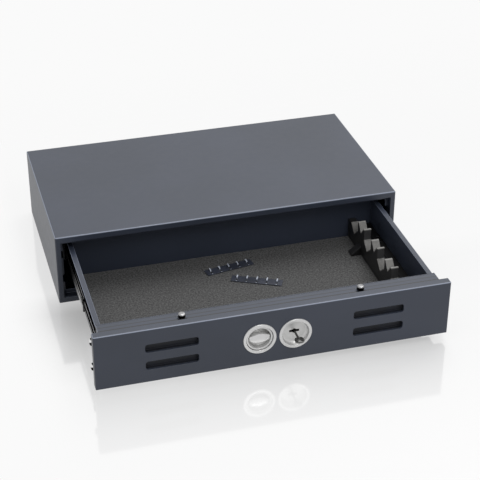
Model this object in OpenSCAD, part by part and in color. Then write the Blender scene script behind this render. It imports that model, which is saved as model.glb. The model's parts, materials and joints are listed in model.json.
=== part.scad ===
// Drawer safe for a wardrobe or shelf: a steel casing, a drawer on three-part ball slides, a front with
// eight locking bolts, a turn handle and a double-bit key lock, and a felt-lined tray with a barrel rack.
// X runs to the right, Y to the back, Z up. The origin is the middle of the casing's underside.
// The drawer is drawn as far open as rest_open says, with its locking bolts withdrawn.

/* [Casing] */
// Width of the casing over its sides
casing_w = 700; // [640:5:900]
// Depth of the casing
casing_d = 380; // [376:2:460]
// Height of the casing
casing_h = 150; // [146:1:190]
// Thickness of the casing's sheet
shell_t = 3; // [2:0.5:4]
// Radius of the casing's folded edges
edge_r = 3; // [2:0.5:4]
// Thickness of the back panel
back_t = 3; // [2:0.5:5]
// Width of the front lip at each side
lip_side = 10.5; // [9:0.5:14]
// Height of the front lip above the opening
lip_top = 13; // [11:0.5:18]
// Height of the front lip below the opening
lip_bottom = 12; // [10:0.5:16]
// Depth of the keeper bars behind the front lip
keeper_d = 21; // [18:0.5:22]
// Distance of the stop flange behind the casing's front
stop_setback = 16.5; // [16.5:0.5:18]
// Thickness of the stop flange
stop_t = 2.5; // [1.5:0.5:3]
// How far the stop flange stands into the opening
stop_w = 5.5; // [3:0.5:5.5]
// Radius of the anchor holes
anchor_r = 5.5; // [3:0.5:7]
// Distance between the floor anchor holes, side to side
anchor_x = 560; // [400:10:600]
// Distance between the floor anchor holes, front to back
anchor_y = 260; // [160:10:300]
// Distance between the wall anchor holes
wall_anchor_x = 400; // [200:10:560]
// Height of the wall anchor holes
wall_anchor_z = 75; // [40:1:100]

/* [Drawer] */
// How far the drawer stands open
rest_open = 320.5; // [0:0.5:325]
// Gap beside the drawer's front
gap_side = 2.9; // [2:0.1:5]
// Gap above the drawer's front
gap_top = 6.5; // [4:0.5:9]
// Gap below the drawer's front
gap_bottom = 4.5; // [3:0.5:8]
// Depth of the drawer's front
panel_d = 15.5; // [15:0.5:16]
// Thickness of the front's face
panel_face_t = 4; // [3:0.5:5]
// Thickness of the front's folded sides
panel_side_t = 2.5; // [1.5:0.5:3]
// Radius of the front's edges
panel_edge_r = 2.5; // [1:0.5:3]
// Thickness of the carrier plate that closes the front
carrier_t = 2; // [1.5:0.5:2.5]
// Depth of the bolt housing behind the front
housing_d = 33; // [32:0.5:36]
// Thickness of the bolt housing's sheet
housing_t = 1.5; // [1:0.25:2.5]
// Height of the housing's underside above the opening
housing_rise = 10; // [9:0.5:12]
// Distance from the housing's top to the opening's top
housing_drop = 13; // [12:0.5:16]
// Thickness of the tray's sheet
tray_t = 1.5; // [1:0.25:2]
// Height of the tray's rim below the housing's top
rim_drop = 6; // [3:0.5:12]
// Width of the tray's rim, which is folded outwards over the slides
rim_w = 10; // [6:0.5:14]
// Height of the tray's floor above the housing's underside
tray_rise = 9.5; // [6:0.5:14]
// Gap between the tray's rear rim and the plane of the casing's back
tray_back_gap = 9.5; // [7:0.5:20]
// Thickness of the felt mat
felt_t = 4; // [2:0.5:6]
// Gap between the felt mat and the tray's walls
felt_gap = 0.5; // [0:0.25:3]

/* [Slots in the front] */
// Length of a slot
slot_l = 98; // [60:1:110]
// Height of a slot
slot_h = 17.5; // [8:0.5:18]
// Corner radius of a slot
slot_r = 3.5; // [1:0.5:4]
// Distance of the slots' middle from the front's middle
slot_x = 195.5; // [180:0.5:215]
// Distance between the upper and the lower slots
slot_pitch = 36.8; // [26:0.4:44]
// How far the slots' middle lies below the handle's
slot_drop = 1.3; // [0:0.1:4]
// Depth of the liner behind each slot
liner_d = 7.5; // [4:0.5:9]
// Wall of the liner
liner_t = 1.5; // [1:0.5:2]

/* [Handle and lock] */
// How far the handle and the lock lie below the front's middle
disc_drop = 1; // [-2:0.5:4]
// Place of the handle, from the middle
handle_x = -33; // [-45:0.5:-30]
// Place of the lock, from the middle
lock_x = 34.7; // [32:0.1:45]
// Radius of the two rosettes
rosette_r = 31.25; // [30:0.25:32]
// Thickness of a rosette's flange on the front
rosette_t = 2; // [1:0.25:3]
// Inner radius of the handle's rosette
rosette_bore_r = 25.6; // [25:0.1:26]
// Wall of a rosette's sleeve inside the front
sleeve_t = 1.8; // [1:0.1:2.5]
// Gap between the handle's cup and its rosette
cup_gap = 0.9; // [0.3:0.1:1.5]
// Distance of the cup's rim behind the front
cup_setback = 2.5; // [0:0.5:3]
// Width of the cup's rim
cup_rim = 3; // [2:0.5:4]
// Thickness of the cup's floor
cup_floor = 2; // [1:0.5:3]
// Length of the finger bar
bar_l = 39; // [30:1:40]
// Height of the finger bar at its middle
bar_h = 16; // [8:0.5:18]
// Distance of the finger bar's face behind the front
bar_setback = 0.5; // [0:0.5:2]
// Radius of the handle's spindle
spindle_r = 5; // [3.5:0.5:5.5]
// Outer radius of the spindle's bush
bush_r = 8; // [6.5:0.5:9]
// Depth of the lock's bowl behind the front
bowl_d = 8; // [4:0.5:9]
// Thickness of the bowl's floor
bowl_floor = 2; // [1:0.5:2.5]
// Width of the keyhole
keyhole_w = 19; // [18.5:0.5:20]
// Height of the keyhole's wings
keyhole_h = 5; // [4:0.5:6]
// Radius of the keyhole's middle
keyhole_r = 4.5; // [3.5:0.5:5.5]

/* [Locking bolts] */
// Radius of a locking bolt
bolt_r = 7; // [5:0.5:7.5]
// Chamfer at a bolt's tip
bolt_chamfer = 1.2; // [0.5:0.1:2]
// Distance of the bolts' axes behind the front's face
bolt_depth = 32; // [31:0.5:33]
// Distance of the upright bolts from the middle
bolt_x = 169.3; // [168:0.1:180]
// Distance between the two bolts at a side
bolt_pitch = 54; // [50:1:56]
// How far the side bolts' middle lies below the opening's middle
bolt_drop = 0.5; // [-1:0.5:3]
// How far the withdrawn upright bolts stand out
bolt_out_v = 8.5; // [2:0.5:8.5]
// How far the withdrawn side bolts stand out
bolt_out_h = 15; // [8:0.5:15]
// Travel of the bolts
throw = 8.5; // [6:0.5:8.5]
// Length of a locking bolt
bolt_l = 44; // [38:1:48]
// Thickness of a slide bar
slide_bar_t = 2.5; // [2:0.25:2.5]
// Height of a slide bar
slide_bar_h = 22; // [18:1:24]
// Radius of the pins that run in the bars' slots
pin_r = 2.2; // [1.5:0.1:2.5]
// Radius of the cam disc
cam_r = 24; // [20:0.5:26]
// Thickness of the cam disc
cam_t = 4.3; // [3:0.1:4.5]

/* [Key and lock case] */
// Width of the lock case
case_w = 55; // [50:1:58]
// Height of the lock case
case_h = 55; // [50:1:55]
// Depth of the lock case
case_d = 22; // [18:1:25]
// Wall of the lock case
case_t = 2; // [1.5:0.5:2.5]
// Radius of the lock's drum
drum_r = 11.5; // [11:0.1:12]
// Radius of the key's shaft
key_r = 3; // [2.5:0.1:3.2]
// Width of the key over its two bits
key_w = 18; // [15:0.5:18]
// Thickness of the key's bits and bow
key_t = 3; // [2:0.1:3.2]
// Size of the key's bow
bow_w = 17.5; // [16:0.5:26]
// Distance of the bow's middle in front of the drawer's front
bow_reach = 23.5; // [22:0.5:34]
// Radius of the hole in the bow
bow_hole_r = 3.5; // [3:0.25:5]
// Width of the lock's bolt
deadbolt_h = 14; // [10:1:18]
// Thickness of the lock's bolt
deadbolt_t = 4; // [2.5:0.1:4]
// Travel of the lock's bolt
deadbolt_throw = 8; // [6:0.5:8]

/* [Slides] */
// Width of a slide, from the tray to its bracket
slide_w = 12.7; // [12.7:0.1:13.5]
// Height of the cabinet rail
slide_h = 35; // [34:0.5:45]
// How far the slides' middle lies above the opening's middle
slide_rise = 9.5; // [-1:0.5:10]
// Distance from the slides to the plane of the casing's back
slide_back_gap = 13; // [9:1:30]
// Gap between the shut drawer's bolt housing and the slides
slide_clear = 3.5; // [2.5:0.5:12]
// Share of the drawer's travel that the middle rails make
mid_share = 0.62; // [0.5:0.01:0.63]
// Thickness of the rails' steel
rail_t = 1.2; // [1:0.1:1.4]
// Width of the bracket behind a cabinet rail
bracket_w = 19.7; // [16.5:0.1:24.5]
// Radius of the balls
ball_r = 1.6; // [1.2:0.1:1.7]
// Balls in each row of a cage
ball_count = 6; // [3:1:8]
// Length of a ball cage
cage_l = 105; // [70:5:105]

/* [Barrel rack and hook strips] */
// Width of the rack
rack_w = 15; // [12:0.5:20]
// Gap between the rack and the tray's right wall
rack_gap = 33.5; // [26:0.5:60]
// Gap between the rack and the tray's back wall
rack_setback = 2; // [1:0.5:10]
// Distance from one high notch to the next
rack_pitch = 75; // [70:0.5:76]
// Height of the rack's low teeth above the felt
rack_low = 41; // [36:1:48]
// Height of the rack's high teeth above the felt
rack_high = 63; // [54:1:70]
// Depth of a notch
notch_d = 17; // [12:0.5:20]
// Thickness of the lining in the notches
lining_t = 2; // [1:0.25:3]
// Length of a hook strip
strip_l = 102; // [60:1:140]
// Width of a hook strip's plate
strip_w = 20.5; // [18:0.5:26]
// Thickness of a hook strip
strip_t = 1.5; // [0.8:0.1:2]
// Number of hooks on a strip
hook_count = 5; // [3:1:5]
// Distance from one hook to the next
hook_pitch = 20; // [18:0.5:20]
// Height of a hook above the felt
hook_h = 6.5; // [5:0.5:12]
// Width of a hook
hook_w = 4; // [3:0.5:8]
// How far a hook reaches towards the strip's rear edge
hook_reach = 7; // [5:0.5:9]

/* [Hidden] */
$fn = 48;
FIT = 0.05;
SKIN = 0.2;
CUT = 1;

// The casing's front plane, and the opening in it
front_y = -casing_d / 2;
open_half = casing_w / 2 - lip_side;
open_z0 = lip_bottom;
open_z1 = casing_h - lip_top;
inner_half = casing_w / 2 - shell_t;
stop_half = open_half - stop_w;

// The drawer's front
panel_y = front_y - rest_open;
panel_half = open_half - gap_side;
panel_z0 = open_z0 + gap_bottom;
panel_z1 = open_z1 - gap_top;
carrier_front = panel_d - carrier_t;

// The slides, the housing and the tray
SLIDE_GAP = 0.3;
rail_half = inner_half - bracket_w - slide_w;
wall_half = rail_half - SLIDE_GAP;
tray_inner_half = wall_half - tray_t;
tray_half = tray_inner_half + rim_w;
housing_z0 = open_z0 + housing_rise;
housing_z1 = open_z1 - housing_drop;
housing_back = panel_d + housing_d;
cover_front = housing_back - housing_t;
tray_z0 = housing_z0 + tray_rise;
tray_z1 = housing_z1 - rim_drop;
tray_back = casing_d - tray_back_gap - rim_w;
tray_inner_d = tray_back - housing_back;
felt_z0 = tray_z0 + tray_t;
felt_z1 = felt_z0 + felt_t;
open_mid_z = (open_z0 + open_z1) / 2;
slide_z = open_mid_z + slide_rise;

// The handle, the cam, the bars and the lock, each in its own layer behind the front
disc_z = (panel_z0 + panel_z1) / 2 - disc_drop;
sleeve_r = rosette_bore_r + sleeve_t;
cup_r = rosette_bore_r - cup_gap;
SOFT_GAP = 0.3;
cup_back = carrier_front - SOFT_GAP;
LAYER_GAP = 0.4;
cam_front = panel_d + LAYER_GAP;
cam_back = cam_front + cam_t;
bar_front = cam_back + LAYER_GAP;
bar_back = bar_front + slide_bar_t;
pin_orbit = throw / sqrt(2);
PIN_PLAY = 0.25;
side_bolt_in = tray_half + bolt_out_h - bolt_l;
STUB_INSET = 7;
STUB_R = 4.5;
stub_x = side_bolt_in + STUB_INSET;
side_bolt_z = [for (z = [-bolt_pitch / 2, bolt_pitch / 2]) open_mid_z - bolt_drop + z];
upper_bolt_low = housing_z1 + bolt_out_v - bolt_l;
lower_bolt_high = housing_z0 - bolt_out_v + bolt_l;
PIN_INSET = 7;
upper_pin_z = upper_bolt_low + PIN_INSET;
lower_pin_z = lower_bolt_high - PIN_INSET;
BUSH_L = 6;
GUIDE_R = bolt_r + 2;
TAB_MARGIN = 8;

// Studs, posts and screws
STUD_X = [110, 255];
STUD_R = 3;
STUD_HEAD_R = 6;
STUD_CAP_T = 2;
POST_X = [125, 232];
POST_R = 5;
POST_RISE = 10;
POST_DROP = 12;
post_z = [felt_z1 + POST_RISE, housing_z1 - POST_DROP];
SCREW_R = 2.5;
SCREW_HEAD_R = 4.5;
SCREW_HEAD_T = 2.3;
CASE_SCREW_R = 2;
CASE_SCREW_INSET = 5;

// Key, drum and lock bolt
drum_front = bowl_d + bowl_floor + SOFT_GAP;
JOURNAL_R = 6;
KEY_PLAY = 0.2;
KEY_IN = 20;
DRUM_END = 1;
key_tip = drum_front + KEY_IN;
BIT_L = 14;
case_x0 = lock_x - case_w / 2;
case_back = panel_d + case_d;
NOTCH_BITE = 4;
deadbolt_tip = handle_x + cam_r + deadbolt_throw - NOTCH_BITE;
deadbolt_front = panel_d + SKIN;
deadbolt_back = deadbolt_front + deadbolt_t;
DRUM_GAP = 1;
LEVER_COUNT = 6;
LEVER_T = 1;
LEVER_STEP = 1.6;
LEVER_R = 15.5;
LEVER_ARM_R = 4.5;
LEVER_GAP = 0.5;
LEVER_POST = [-17, 12];
LEVER_POST_R = 2.5;

// Slides
RAIL_STEP = 4.5;
mid_half_h = slide_h / 2 - rail_t - 2 * ball_r - 2 * SKIN;
inner_half_h = mid_half_h - rail_t - 2 * ball_r - 2 * SKIN;
WEB_GAP = 1.2;
mid_web = slide_w - 2 * rail_t - WEB_GAP;
MID_FLANGE_U = 2.6;
DRAWER_FLANGE_GAP = 1.4;
CAGE_T = 0.5;
CAGE_EDGE = 0.8;
CAGE_GAP = 0.15;
BALL_INSET = 8;
cabinet_y = front_y + housing_back + slide_clear;
slide_l = casing_d - housing_back - slide_clear - slide_back_gap;
MID_SETBACK = 2;
mid_rest_y = cabinet_y + MID_SETBACK - mid_share * rest_open;
RAIL_FRONT_GAP = 1;
RAIL_TAIL = 8.5;
drawer_rail_y = panel_y + housing_back + RAIL_FRONT_GAP;
drawer_rail_l = tray_back + RAIL_TAIL - housing_back - RAIL_FRONT_GAP;
OUTER_CAGE_IN = 8;
INNER_CAGE_IN = 12;
outer_cage_y = cabinet_y + OUTER_CAGE_IN;
inner_cage_y = mid_rest_y + INNER_CAGE_IN;

// Rack
rack_x1 = tray_inner_half - rack_gap;
rack_x0 = rack_x1 - rack_w;
rack_y1 = panel_y + tray_back - rack_setback;
RACK_END = 16.4;
LOW_RUN = 19.5;
TIP_FLAT = 3.4;
low_span = 2 * LOW_RUN;
high_run = (rack_pitch - low_span - 2 * TIP_FLAT) / 2;
rack_room = tray_inner_d - rack_setback - 2 * RACK_END - low_span;
rack_units = floor(rack_room / rack_pitch);
rack_l = 2 * RACK_END + rack_units * rack_pitch + low_span;
FOOT_W = 18;
FOOT_L = 21;
FOOT_H = 21;
FOOT_TOE = 3;
LUG_T = 3;
SHELF_SCREW_IN = 5.5;
SHELF_HEAD_R = 3.2;
SHELF_HEAD_T = 1.6;
FOOT_Y = 71.6;
SHELF_T = 2;
SHELF_SCREW_PITCH = 22;
shelf_z = felt_z1 + rack_low - notch_d - SHELF_T;

// Where the two loose hook strips lie on the felt, and how they are turned
STRIP_PLACES = [[-8, -208, 10.3], [32, -270.3, -25.8]];
HOOK_HOLE = 5;
HOOK_LIP = 1.2;
HOOK_CUT = 0.3;

// Places what follows behind the drawer's front, whose face is then at y = 0
module behind_front() translate([0, panel_y, 0]) children();

// A round bar along +Y, or along +X
module bar_y(r, l) rotate([-90, 0, 0]) cylinder(r = r, h = l);
module bar_x(r, l) rotate([0, 90, 0]) cylinder(r = r, h = l);

// An outline drawn in X and Z, made l deep along +Y
module deep(l) translate([0, l, 0]) rotate([90, 0, 0]) linear_extrude(l) children();

// A block from one corner to the other
module block(a, b) translate(a) cube([b[0] - a[0], b[1] - a[1], b[2] - a[2]]);

// A block with rounded edges: where three prisms with round corners meet
module soft_block(a, b, r) {
    s = b - a;
    translate((a + b) / 2) intersection() {
        linear_extrude(s[2], center = true) round_rect(s[0], s[1], r);
        rotate([90, 0, 0]) linear_extrude(s[1], center = true) round_rect(s[0], s[2], r);
        rotate([90, 0, 90]) linear_extrude(s[0], center = true) round_rect(s[1], s[2], r);
    }
}

// A rectangle around the origin with round corners, in two dimensions
module round_rect(w, h, r) {
    square([w - 2 * r, h], center = true);
    square([w, h - 2 * r], center = true);
    for (x = [-1, 1], y = [-1, 1]) translate([x * (w / 2 - r), y * (h / 2 - r)]) circle(r);
}

// A slot with round ends from one point to another, in two dimensions
module round_slot(a, b, r) {
    v = b - a;
    for (p = [a, b]) translate(p) circle(r);
    translate(a) rotate(atan2(v[1], v[0])) translate([0, -r]) square([norm(v), 2 * r]);
}

module paint() color([0.27, 0.285, 0.32]) children();
module zinc() color([0.78, 0.79, 0.8]) children();
module nickel() color([0.72, 0.72, 0.7]) children();
module black() color([0.06, 0.06, 0.065]) children();
module brass() color([0.8, 0.62, 0.3]) children();

// The folded casing: a tube of sheet, open at the back, with a lip round the front opening
module casing_shell() paint() difference() {
    soft_block([-casing_w / 2, front_y, 0], [casing_w / 2, -front_y, casing_h], edge_r);
    block([-inner_half, front_y + shell_t, shell_t], [inner_half, CUT - front_y, casing_h - shell_t]);
    block([-open_half, front_y - CUT, open_z0], [open_half, front_y + shell_t + CUT, open_z1]);
    for (x = [-1, 1], y = [-1, 1]) translate([x * anchor_x / 2, y * anchor_y / 2, -CUT])
        cylinder(r = anchor_r, h = shell_t + 2 * CUT);
}

back_y0 = -front_y - edge_r - back_t;
module back_panel() paint() difference() {
    block([-inner_half, back_y0, shell_t], [inner_half, back_y0 + back_t, casing_h - shell_t]);
    for (x = [-1, 1]) translate([x * wall_anchor_x / 2, back_y0 - CUT, wall_anchor_z])
        bar_y(anchor_r, back_t + 2 * CUT);
}

// Passages in the stop flange that let the withdrawn bolts by
PASS_GAP = 1.5;
pass_r = bolt_r + PASS_GAP;
keeper_y0 = front_y + shell_t;
keeper_y1 = keeper_y0 + keeper_d;
stop_y0 = front_y + stop_setback;

module keeper_side(side) paint() mirror([side < 0 ? 1 : 0, 0, 0]) difference() {
    union() {
        block([open_half, keeper_y0, open_z0], [inner_half, keeper_y1, open_z1]);
        block([stop_half, stop_y0, open_z0], [open_half + CUT, stop_y0 + stop_t, open_z1]);
    }
    for (z = side_bolt_z)
        block([stop_half - CUT, stop_y0 - CUT, z - pass_r], [open_half, stop_y0 + stop_t + CUT, z + pass_r]);
}
module keeper_left() keeper_side(-1);
module keeper_right() keeper_side(1);

// A keeper above or below: it fills from z_seat to the opening, and its flange goes on to z_edge
module keeper_flat(z_seat, z_open, z_edge) paint() difference() {
    past_edge = z_edge + CUT * sign(z_edge - z_open);
    union() {
        block([-inner_half, keeper_y0, min(z_seat, z_open)], [inner_half, keeper_y1, max(z_seat, z_open)]);
        block([-stop_half, stop_y0, min(z_seat, z_edge)], [stop_half, stop_y0 + stop_t, max(z_seat, z_edge)]);
    }
    for (x = [-bolt_x, bolt_x]) block([x - pass_r, stop_y0 - CUT, min(z_open, past_edge)],
        [x + pass_r, stop_y0 + stop_t + CUT, max(z_open, past_edge)]);
}
STOP_CLEAR = 1.5;
module keeper_top() keeper_flat(casing_h - shell_t, open_z1, housing_z1 + STOP_CLEAR);
module keeper_bottom() keeper_flat(shell_t, open_z0, housing_z0 - STOP_CLEAR);

// The slides. side is 1 on the right and -1 on the left; u runs from the tray to the casing's wall
module on_side(side) mirror([side < 0 ? 1 : 0, 0, 0]) translate([rail_half, 0, slide_z]) children();

// A channel along +Y: a web and two flanges that run from u0 to u1
module channel(y, l, half_h, web_u, u0, u1, t) {
    block([web_u, y, -half_h], [web_u + t, y + l, half_h]);
    for (z = [-half_h, half_h - t]) block([u0, y, z], [u1, y + l, z + t]);
}

BRACKET_INSET = 3;
bracket_half_h = slide_h / 2 - BRACKET_INSET;
module slide_bracket(side) paint() on_side(side) difference() {
    channel(cabinet_y, slide_l, bracket_half_h, slide_w, slide_w, slide_w + bracket_w, shell_t);
    for (y = cabinet_screw_y) translate([slide_w - CUT, y, 0]) bar_x(CASE_SCREW_R + FIT, shell_t + 2 * CUT);
}
module slide_bracket_left() slide_bracket(-1);
module slide_bracket_right() slide_bracket(1);

CABINET_SCREW_IN = 30;
cabinet_screw_y = [for (i = [0:2]) cabinet_y + CABINET_SCREW_IN + i * (slide_l / 2 - CABINET_SCREW_IN)];
module cabinet_rail(side) zinc() on_side(side) difference() {
    channel(cabinet_y, slide_l, slide_h / 2, slide_w - rail_t, RAIL_STEP, slide_w, rail_t);
    for (y = cabinet_screw_y) translate([slide_w - rail_t - CUT, y, 0])
        bar_x(CASE_SCREW_R + FIT, rail_t + 2 * CUT);
}
module cabinet_rail_left() cabinet_rail(-1);
module cabinet_rail_right() cabinet_rail(1);

// Low-headed screws, whose heads stay behind the ball cage
FLAT_HEAD_T = 0.5;
SCREW_END = 2;
module cabinet_rail_screws() zinc() for (side = [-1, 1]) on_side(side)
    for (y = cabinet_screw_y) translate([slide_w - rail_t - FLAT_HEAD_T, y, 0]) {
        bar_x(CASE_SCREW_R * 2, FLAT_HEAD_T);
        bar_x(CASE_SCREW_R, FLAT_HEAD_T + rail_t + shell_t + SCREW_END);
    }

module middle_rail(side) zinc() on_side(side)
    channel(mid_rest_y, slide_l, mid_half_h, mid_web, MID_FLANGE_U, mid_web + rail_t, rail_t);
module middle_rail_left() middle_rail(-1);
module middle_rail_right() middle_rail(1);

// The plastic stop at the front end of a middle rail
END_STOP_L = 9;
END_STOP_T = 1.5;
END_STOP_SKIN = 0.8;
module rail_stop(side) black() on_side(side) difference() {
    block([MID_FLANGE_U - SKIN, mid_rest_y - END_STOP_T, -mid_half_h - END_STOP_SKIN],
        [mid_web + rail_t, mid_rest_y + END_STOP_L, mid_half_h + END_STOP_SKIN]);
    channel(mid_rest_y, END_STOP_L + CUT, mid_half_h, mid_web, MID_FLANGE_U, mid_web + rail_t, rail_t);
    block([0, mid_rest_y - END_STOP_T - CUT, -inner_half_h - END_STOP_SKIN],
        [mid_web, mid_rest_y + END_STOP_L + CUT, inner_half_h + END_STOP_SKIN]);
}
module rail_stop_left() rail_stop(-1);
module rail_stop_right() rail_stop(1);

DRAWER_SCREW_IN = 60;
drawer_screw_step = drawer_rail_l / 2 - DRAWER_SCREW_IN;
drawer_screw_y = [for (i = [0:2]) drawer_rail_y + DRAWER_SCREW_IN + i * drawer_screw_step];
module drawer_rail(side) zinc() on_side(side) difference() {
    channel(drawer_rail_y, drawer_rail_l, inner_half_h, 0, 0, mid_web - DRAWER_FLANGE_GAP, rail_t);
    for (y = drawer_screw_y) translate([-CUT, y, 0]) bar_x(CASE_SCREW_R + FIT, rail_t + 2 * CUT);
}
module drawer_rail_left() drawer_rail(-1);
module drawer_rail_right() drawer_rail(1);

// Screws whose ends are flush with the tray's inner side and painted with it
module drawer_rail_screws() paint() for (side = [-1, 1]) on_side(side)
    for (y = drawer_screw_y) translate([-SLIDE_GAP - tray_t, y, 0]) {
        bar_x(CASE_SCREW_R, SLIDE_GAP + tray_t + rail_t);
        translate([SLIDE_GAP + tray_t + rail_t, 0, 0]) bar_x(CASE_SCREW_R * 2, rail_t);
    }

// A ball cage: a bent strip with holes, and the balls in it
module ball_cage(side, y, race_z, web_u, ball_u) on_side(side) {
    ball_y = [for (i = [0:ball_count - 1]) y + BALL_INSET + i * (cage_l - 2 * BALL_INSET) / (ball_count - 1)];
    cage_u0 = ball_u - ball_r - CAGE_EDGE;
    color([0.55, 0.56, 0.55]) difference() {
        channel(y, cage_l, race_z + CAGE_T / 2, web_u, cage_u0, web_u + CAGE_T, CAGE_T);
        for (b = ball_y, z = [-race_z, race_z]) translate([ball_u, b, z - CUT])
            cylinder(r = ball_r + SKIN, h = 2 * CUT);
    }
    zinc() for (b = ball_y, z = [-race_z, race_z]) translate([ball_u, b, z]) sphere(ball_r);
}
outer_race_z = mid_half_h + SKIN + ball_r;
inner_race_z = inner_half_h + SKIN + ball_r;
outer_web_u = mid_web + rail_t + CAGE_GAP;
inner_web_u = mid_web - CAGE_GAP - CAGE_T;
OUTER_BALL_U = 7;
INNER_BALL_U = 5;
module outer_ball_cage(side) ball_cage(side, outer_cage_y, outer_race_z, outer_web_u, OUTER_BALL_U);
module inner_ball_cage(side) ball_cage(side, inner_cage_y, inner_race_z, inner_web_u, INNER_BALL_U);
module outer_ball_cage_left() outer_ball_cage(-1);
module outer_ball_cage_right() outer_ball_cage(1);
module inner_ball_cage_left() inner_ball_cage(-1);
module inner_ball_cage_right() inner_ball_cage(1);

// Where the four slots are
slot_z = disc_z - slot_drop;
slot_places = [for (x = [-slot_x, slot_x], z = [-slot_pitch / 2, slot_pitch / 2]) [x, slot_z + z]];
module at_slots() for (p = slot_places) translate([p[0], 0, p[1]]) children();

// The drawer's front: a folded pan with round edges, the slots and the two round holes
module front_panel() paint() behind_front() difference() {
    intersection() {
        soft_block([-panel_half, 0, panel_z0], [panel_half, panel_d + 2 * panel_edge_r, panel_z1],
            panel_edge_r);
        block([-panel_half, 0, panel_z0], [panel_half, panel_d, panel_z1]);
    }
    block([-panel_half + panel_side_t, panel_face_t, panel_z0 + panel_side_t],
        [panel_half - panel_side_t, panel_d + CUT, panel_z1 - panel_side_t]);
    at_slots() translate([0, -CUT, 0]) deep(panel_face_t + 2 * CUT) round_rect(slot_l, slot_h, slot_r);
    for (x = [handle_x, lock_x]) translate([x, -CUT, disc_z]) bar_y(sleeve_r + SKIN, panel_face_t + 2 * CUT);
}

// The plate that closes the front and carries the handle, the bars and the lock
module carrier_plate() zinc() behind_front() difference() {
    block([-panel_half + panel_side_t + SKIN, carrier_front, panel_z0 + panel_side_t + SKIN],
        [panel_half - panel_side_t - SKIN, panel_d, panel_z1 - panel_side_t - SKIN]);
    translate([handle_x, carrier_front - CUT, disc_z]) bar_y(bush_r + FIT, carrier_t + 2 * CUT);
    translate([lock_x, carrier_front - CUT, disc_z]) bar_y(drum_r + FIT, carrier_t + 2 * CUT);
    at_case_screws() translate([0, carrier_front - CUT, 0]) bar_y(CASE_SCREW_R + FIT, carrier_t + 2 * CUT);
}

// A black tray behind each slot
module slot_liners() black() behind_front() at_slots() difference() {
    translate([0, panel_face_t, 0]) deep(liner_d)
        round_rect(slot_l + 2 * liner_t, slot_h + 2 * liner_t, slot_r + liner_t);
    translate([0, panel_face_t - CUT, 0]) deep(liner_d - liner_t + CUT) round_rect(slot_l, slot_h, slot_r);
}

// The housing round the bolt work, and the holes that the guides sit in
module bolt_housing() paint() behind_front() difference() {
    block([-tray_half, panel_d, housing_z0], [tray_half, cover_front, housing_z1]);
    block([-tray_half + housing_t, panel_d - CUT, housing_z0 + housing_t],
        [tray_half - housing_t, cover_front + CUT, housing_z1 - housing_t]);
    at_guides() translate([0, 0, -housing_t - CUT]) cylinder(r = GUIDE_R + FIT, h = housing_t + 2 * CUT);
}

// Puts what follows at each bolt's hole, with +Z pointing out of the housing and z = 0 at its outer face
module at_guides() {
    for (x = [-bolt_x, bolt_x]) {
        translate([x, bolt_depth, housing_z1]) children();
        translate([x, bolt_depth, housing_z0]) rotate([180, 0, 0]) children();
    }
    for (z = side_bolt_z) {
        translate([tray_half, bolt_depth, z]) rotate([0, 90, 0]) children();
        translate([-tray_half, bolt_depth, z]) rotate([0, -90, 0]) children();
    }
}

module bolt_guides() black() behind_front() at_guides() translate([0, 0, -BUSH_L]) difference() {
    cylinder(r = GUIDE_R, h = BUSH_L);
    translate([0, 0, -CUT]) cylinder(r = bolt_r + FIT, h = BUSH_L + 2 * CUT);
}

module housing_cover() paint() behind_front() difference() {
    block([-tray_half, cover_front, housing_z0], [tray_half, housing_back, housing_z1]);
    at_posts() translate([0, cover_front - CUT, 0]) bar_y(SCREW_R + FIT, housing_t + 2 * CUT);
}

module at_posts() for (side = [-1, 1], x = POST_X, z = post_z) translate([side * x, 0, z]) children();

// Posts between the carrier plate and the cover, and the screws that hold the cover on them
SCREW_REACH = 10;
module cover_posts() zinc() behind_front() at_posts() difference() {
    translate([0, panel_d, 0]) bar_y(POST_R, cover_front - panel_d);
    translate([0, cover_front - SCREW_REACH - CUT, 0]) bar_y(SCREW_R + FIT, SCREW_REACH + 2 * CUT);
}
module cover_screws() zinc() behind_front() at_posts() {
    translate([0, cover_front - SCREW_REACH, 0]) bar_y(SCREW_R, SCREW_REACH + housing_t);
    translate([0, housing_back, 0]) bar_y(SCREW_HEAD_R, SCREW_HEAD_T);
}

// The tray: a floor, two sides and a back, and a rim that is folded outwards over the slides
module drawer_tray() paint() behind_front() difference() {
    union() {
        block([-wall_half, housing_back, tray_z0], [wall_half, tray_back + tray_t, felt_z0]);
        block([-wall_half, tray_back, tray_z0], [wall_half, tray_back + tray_t, tray_z1]);
        block([-tray_half, tray_back, tray_z1 - tray_t], [tray_half, tray_back + rim_w, tray_z1]);
        for (side = [-1, 1]) mirror([side < 0 ? 1 : 0, 0, 0]) {
            block([tray_inner_half, housing_back, tray_z0], [wall_half, tray_back + tray_t, tray_z1]);
            block([tray_inner_half, housing_back, tray_z1 - tray_t], [tray_half, tray_back + rim_w, tray_z1]);
        }
    }
    for (x = [-wall_half, tray_inner_half], y = drawer_screw_y)
        translate([x - CUT, y - panel_y, slide_z]) bar_x(CASE_SCREW_R + FIT, tray_t + 2 * CUT);
}

module felt_mat() color([0.33, 0.33, 0.32]) behind_front()
    block([-tray_inner_half + felt_gap, housing_back + felt_gap, felt_z0],
        [tray_inner_half - felt_gap, tray_back - felt_gap, felt_z1]);

// A ring round an axis along +Y, from an outline in radius and depth
module turned(x) translate([x, 0, disc_z]) rotate([-90, 0, 0]) rotate_extrude() children();

// The flange of a rosette, with its outer edge rounded, in radius and depth
module rosette_flange() {
    translate([rosette_bore_r, -rosette_t]) square([rosette_r - rosette_t - rosette_bore_r, rosette_t]);
    intersection() {
        translate([rosette_r - rosette_t, 0]) circle(rosette_t);
        translate([rosette_r - rosette_t, -rosette_t]) square(rosette_t);
    }
}

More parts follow.
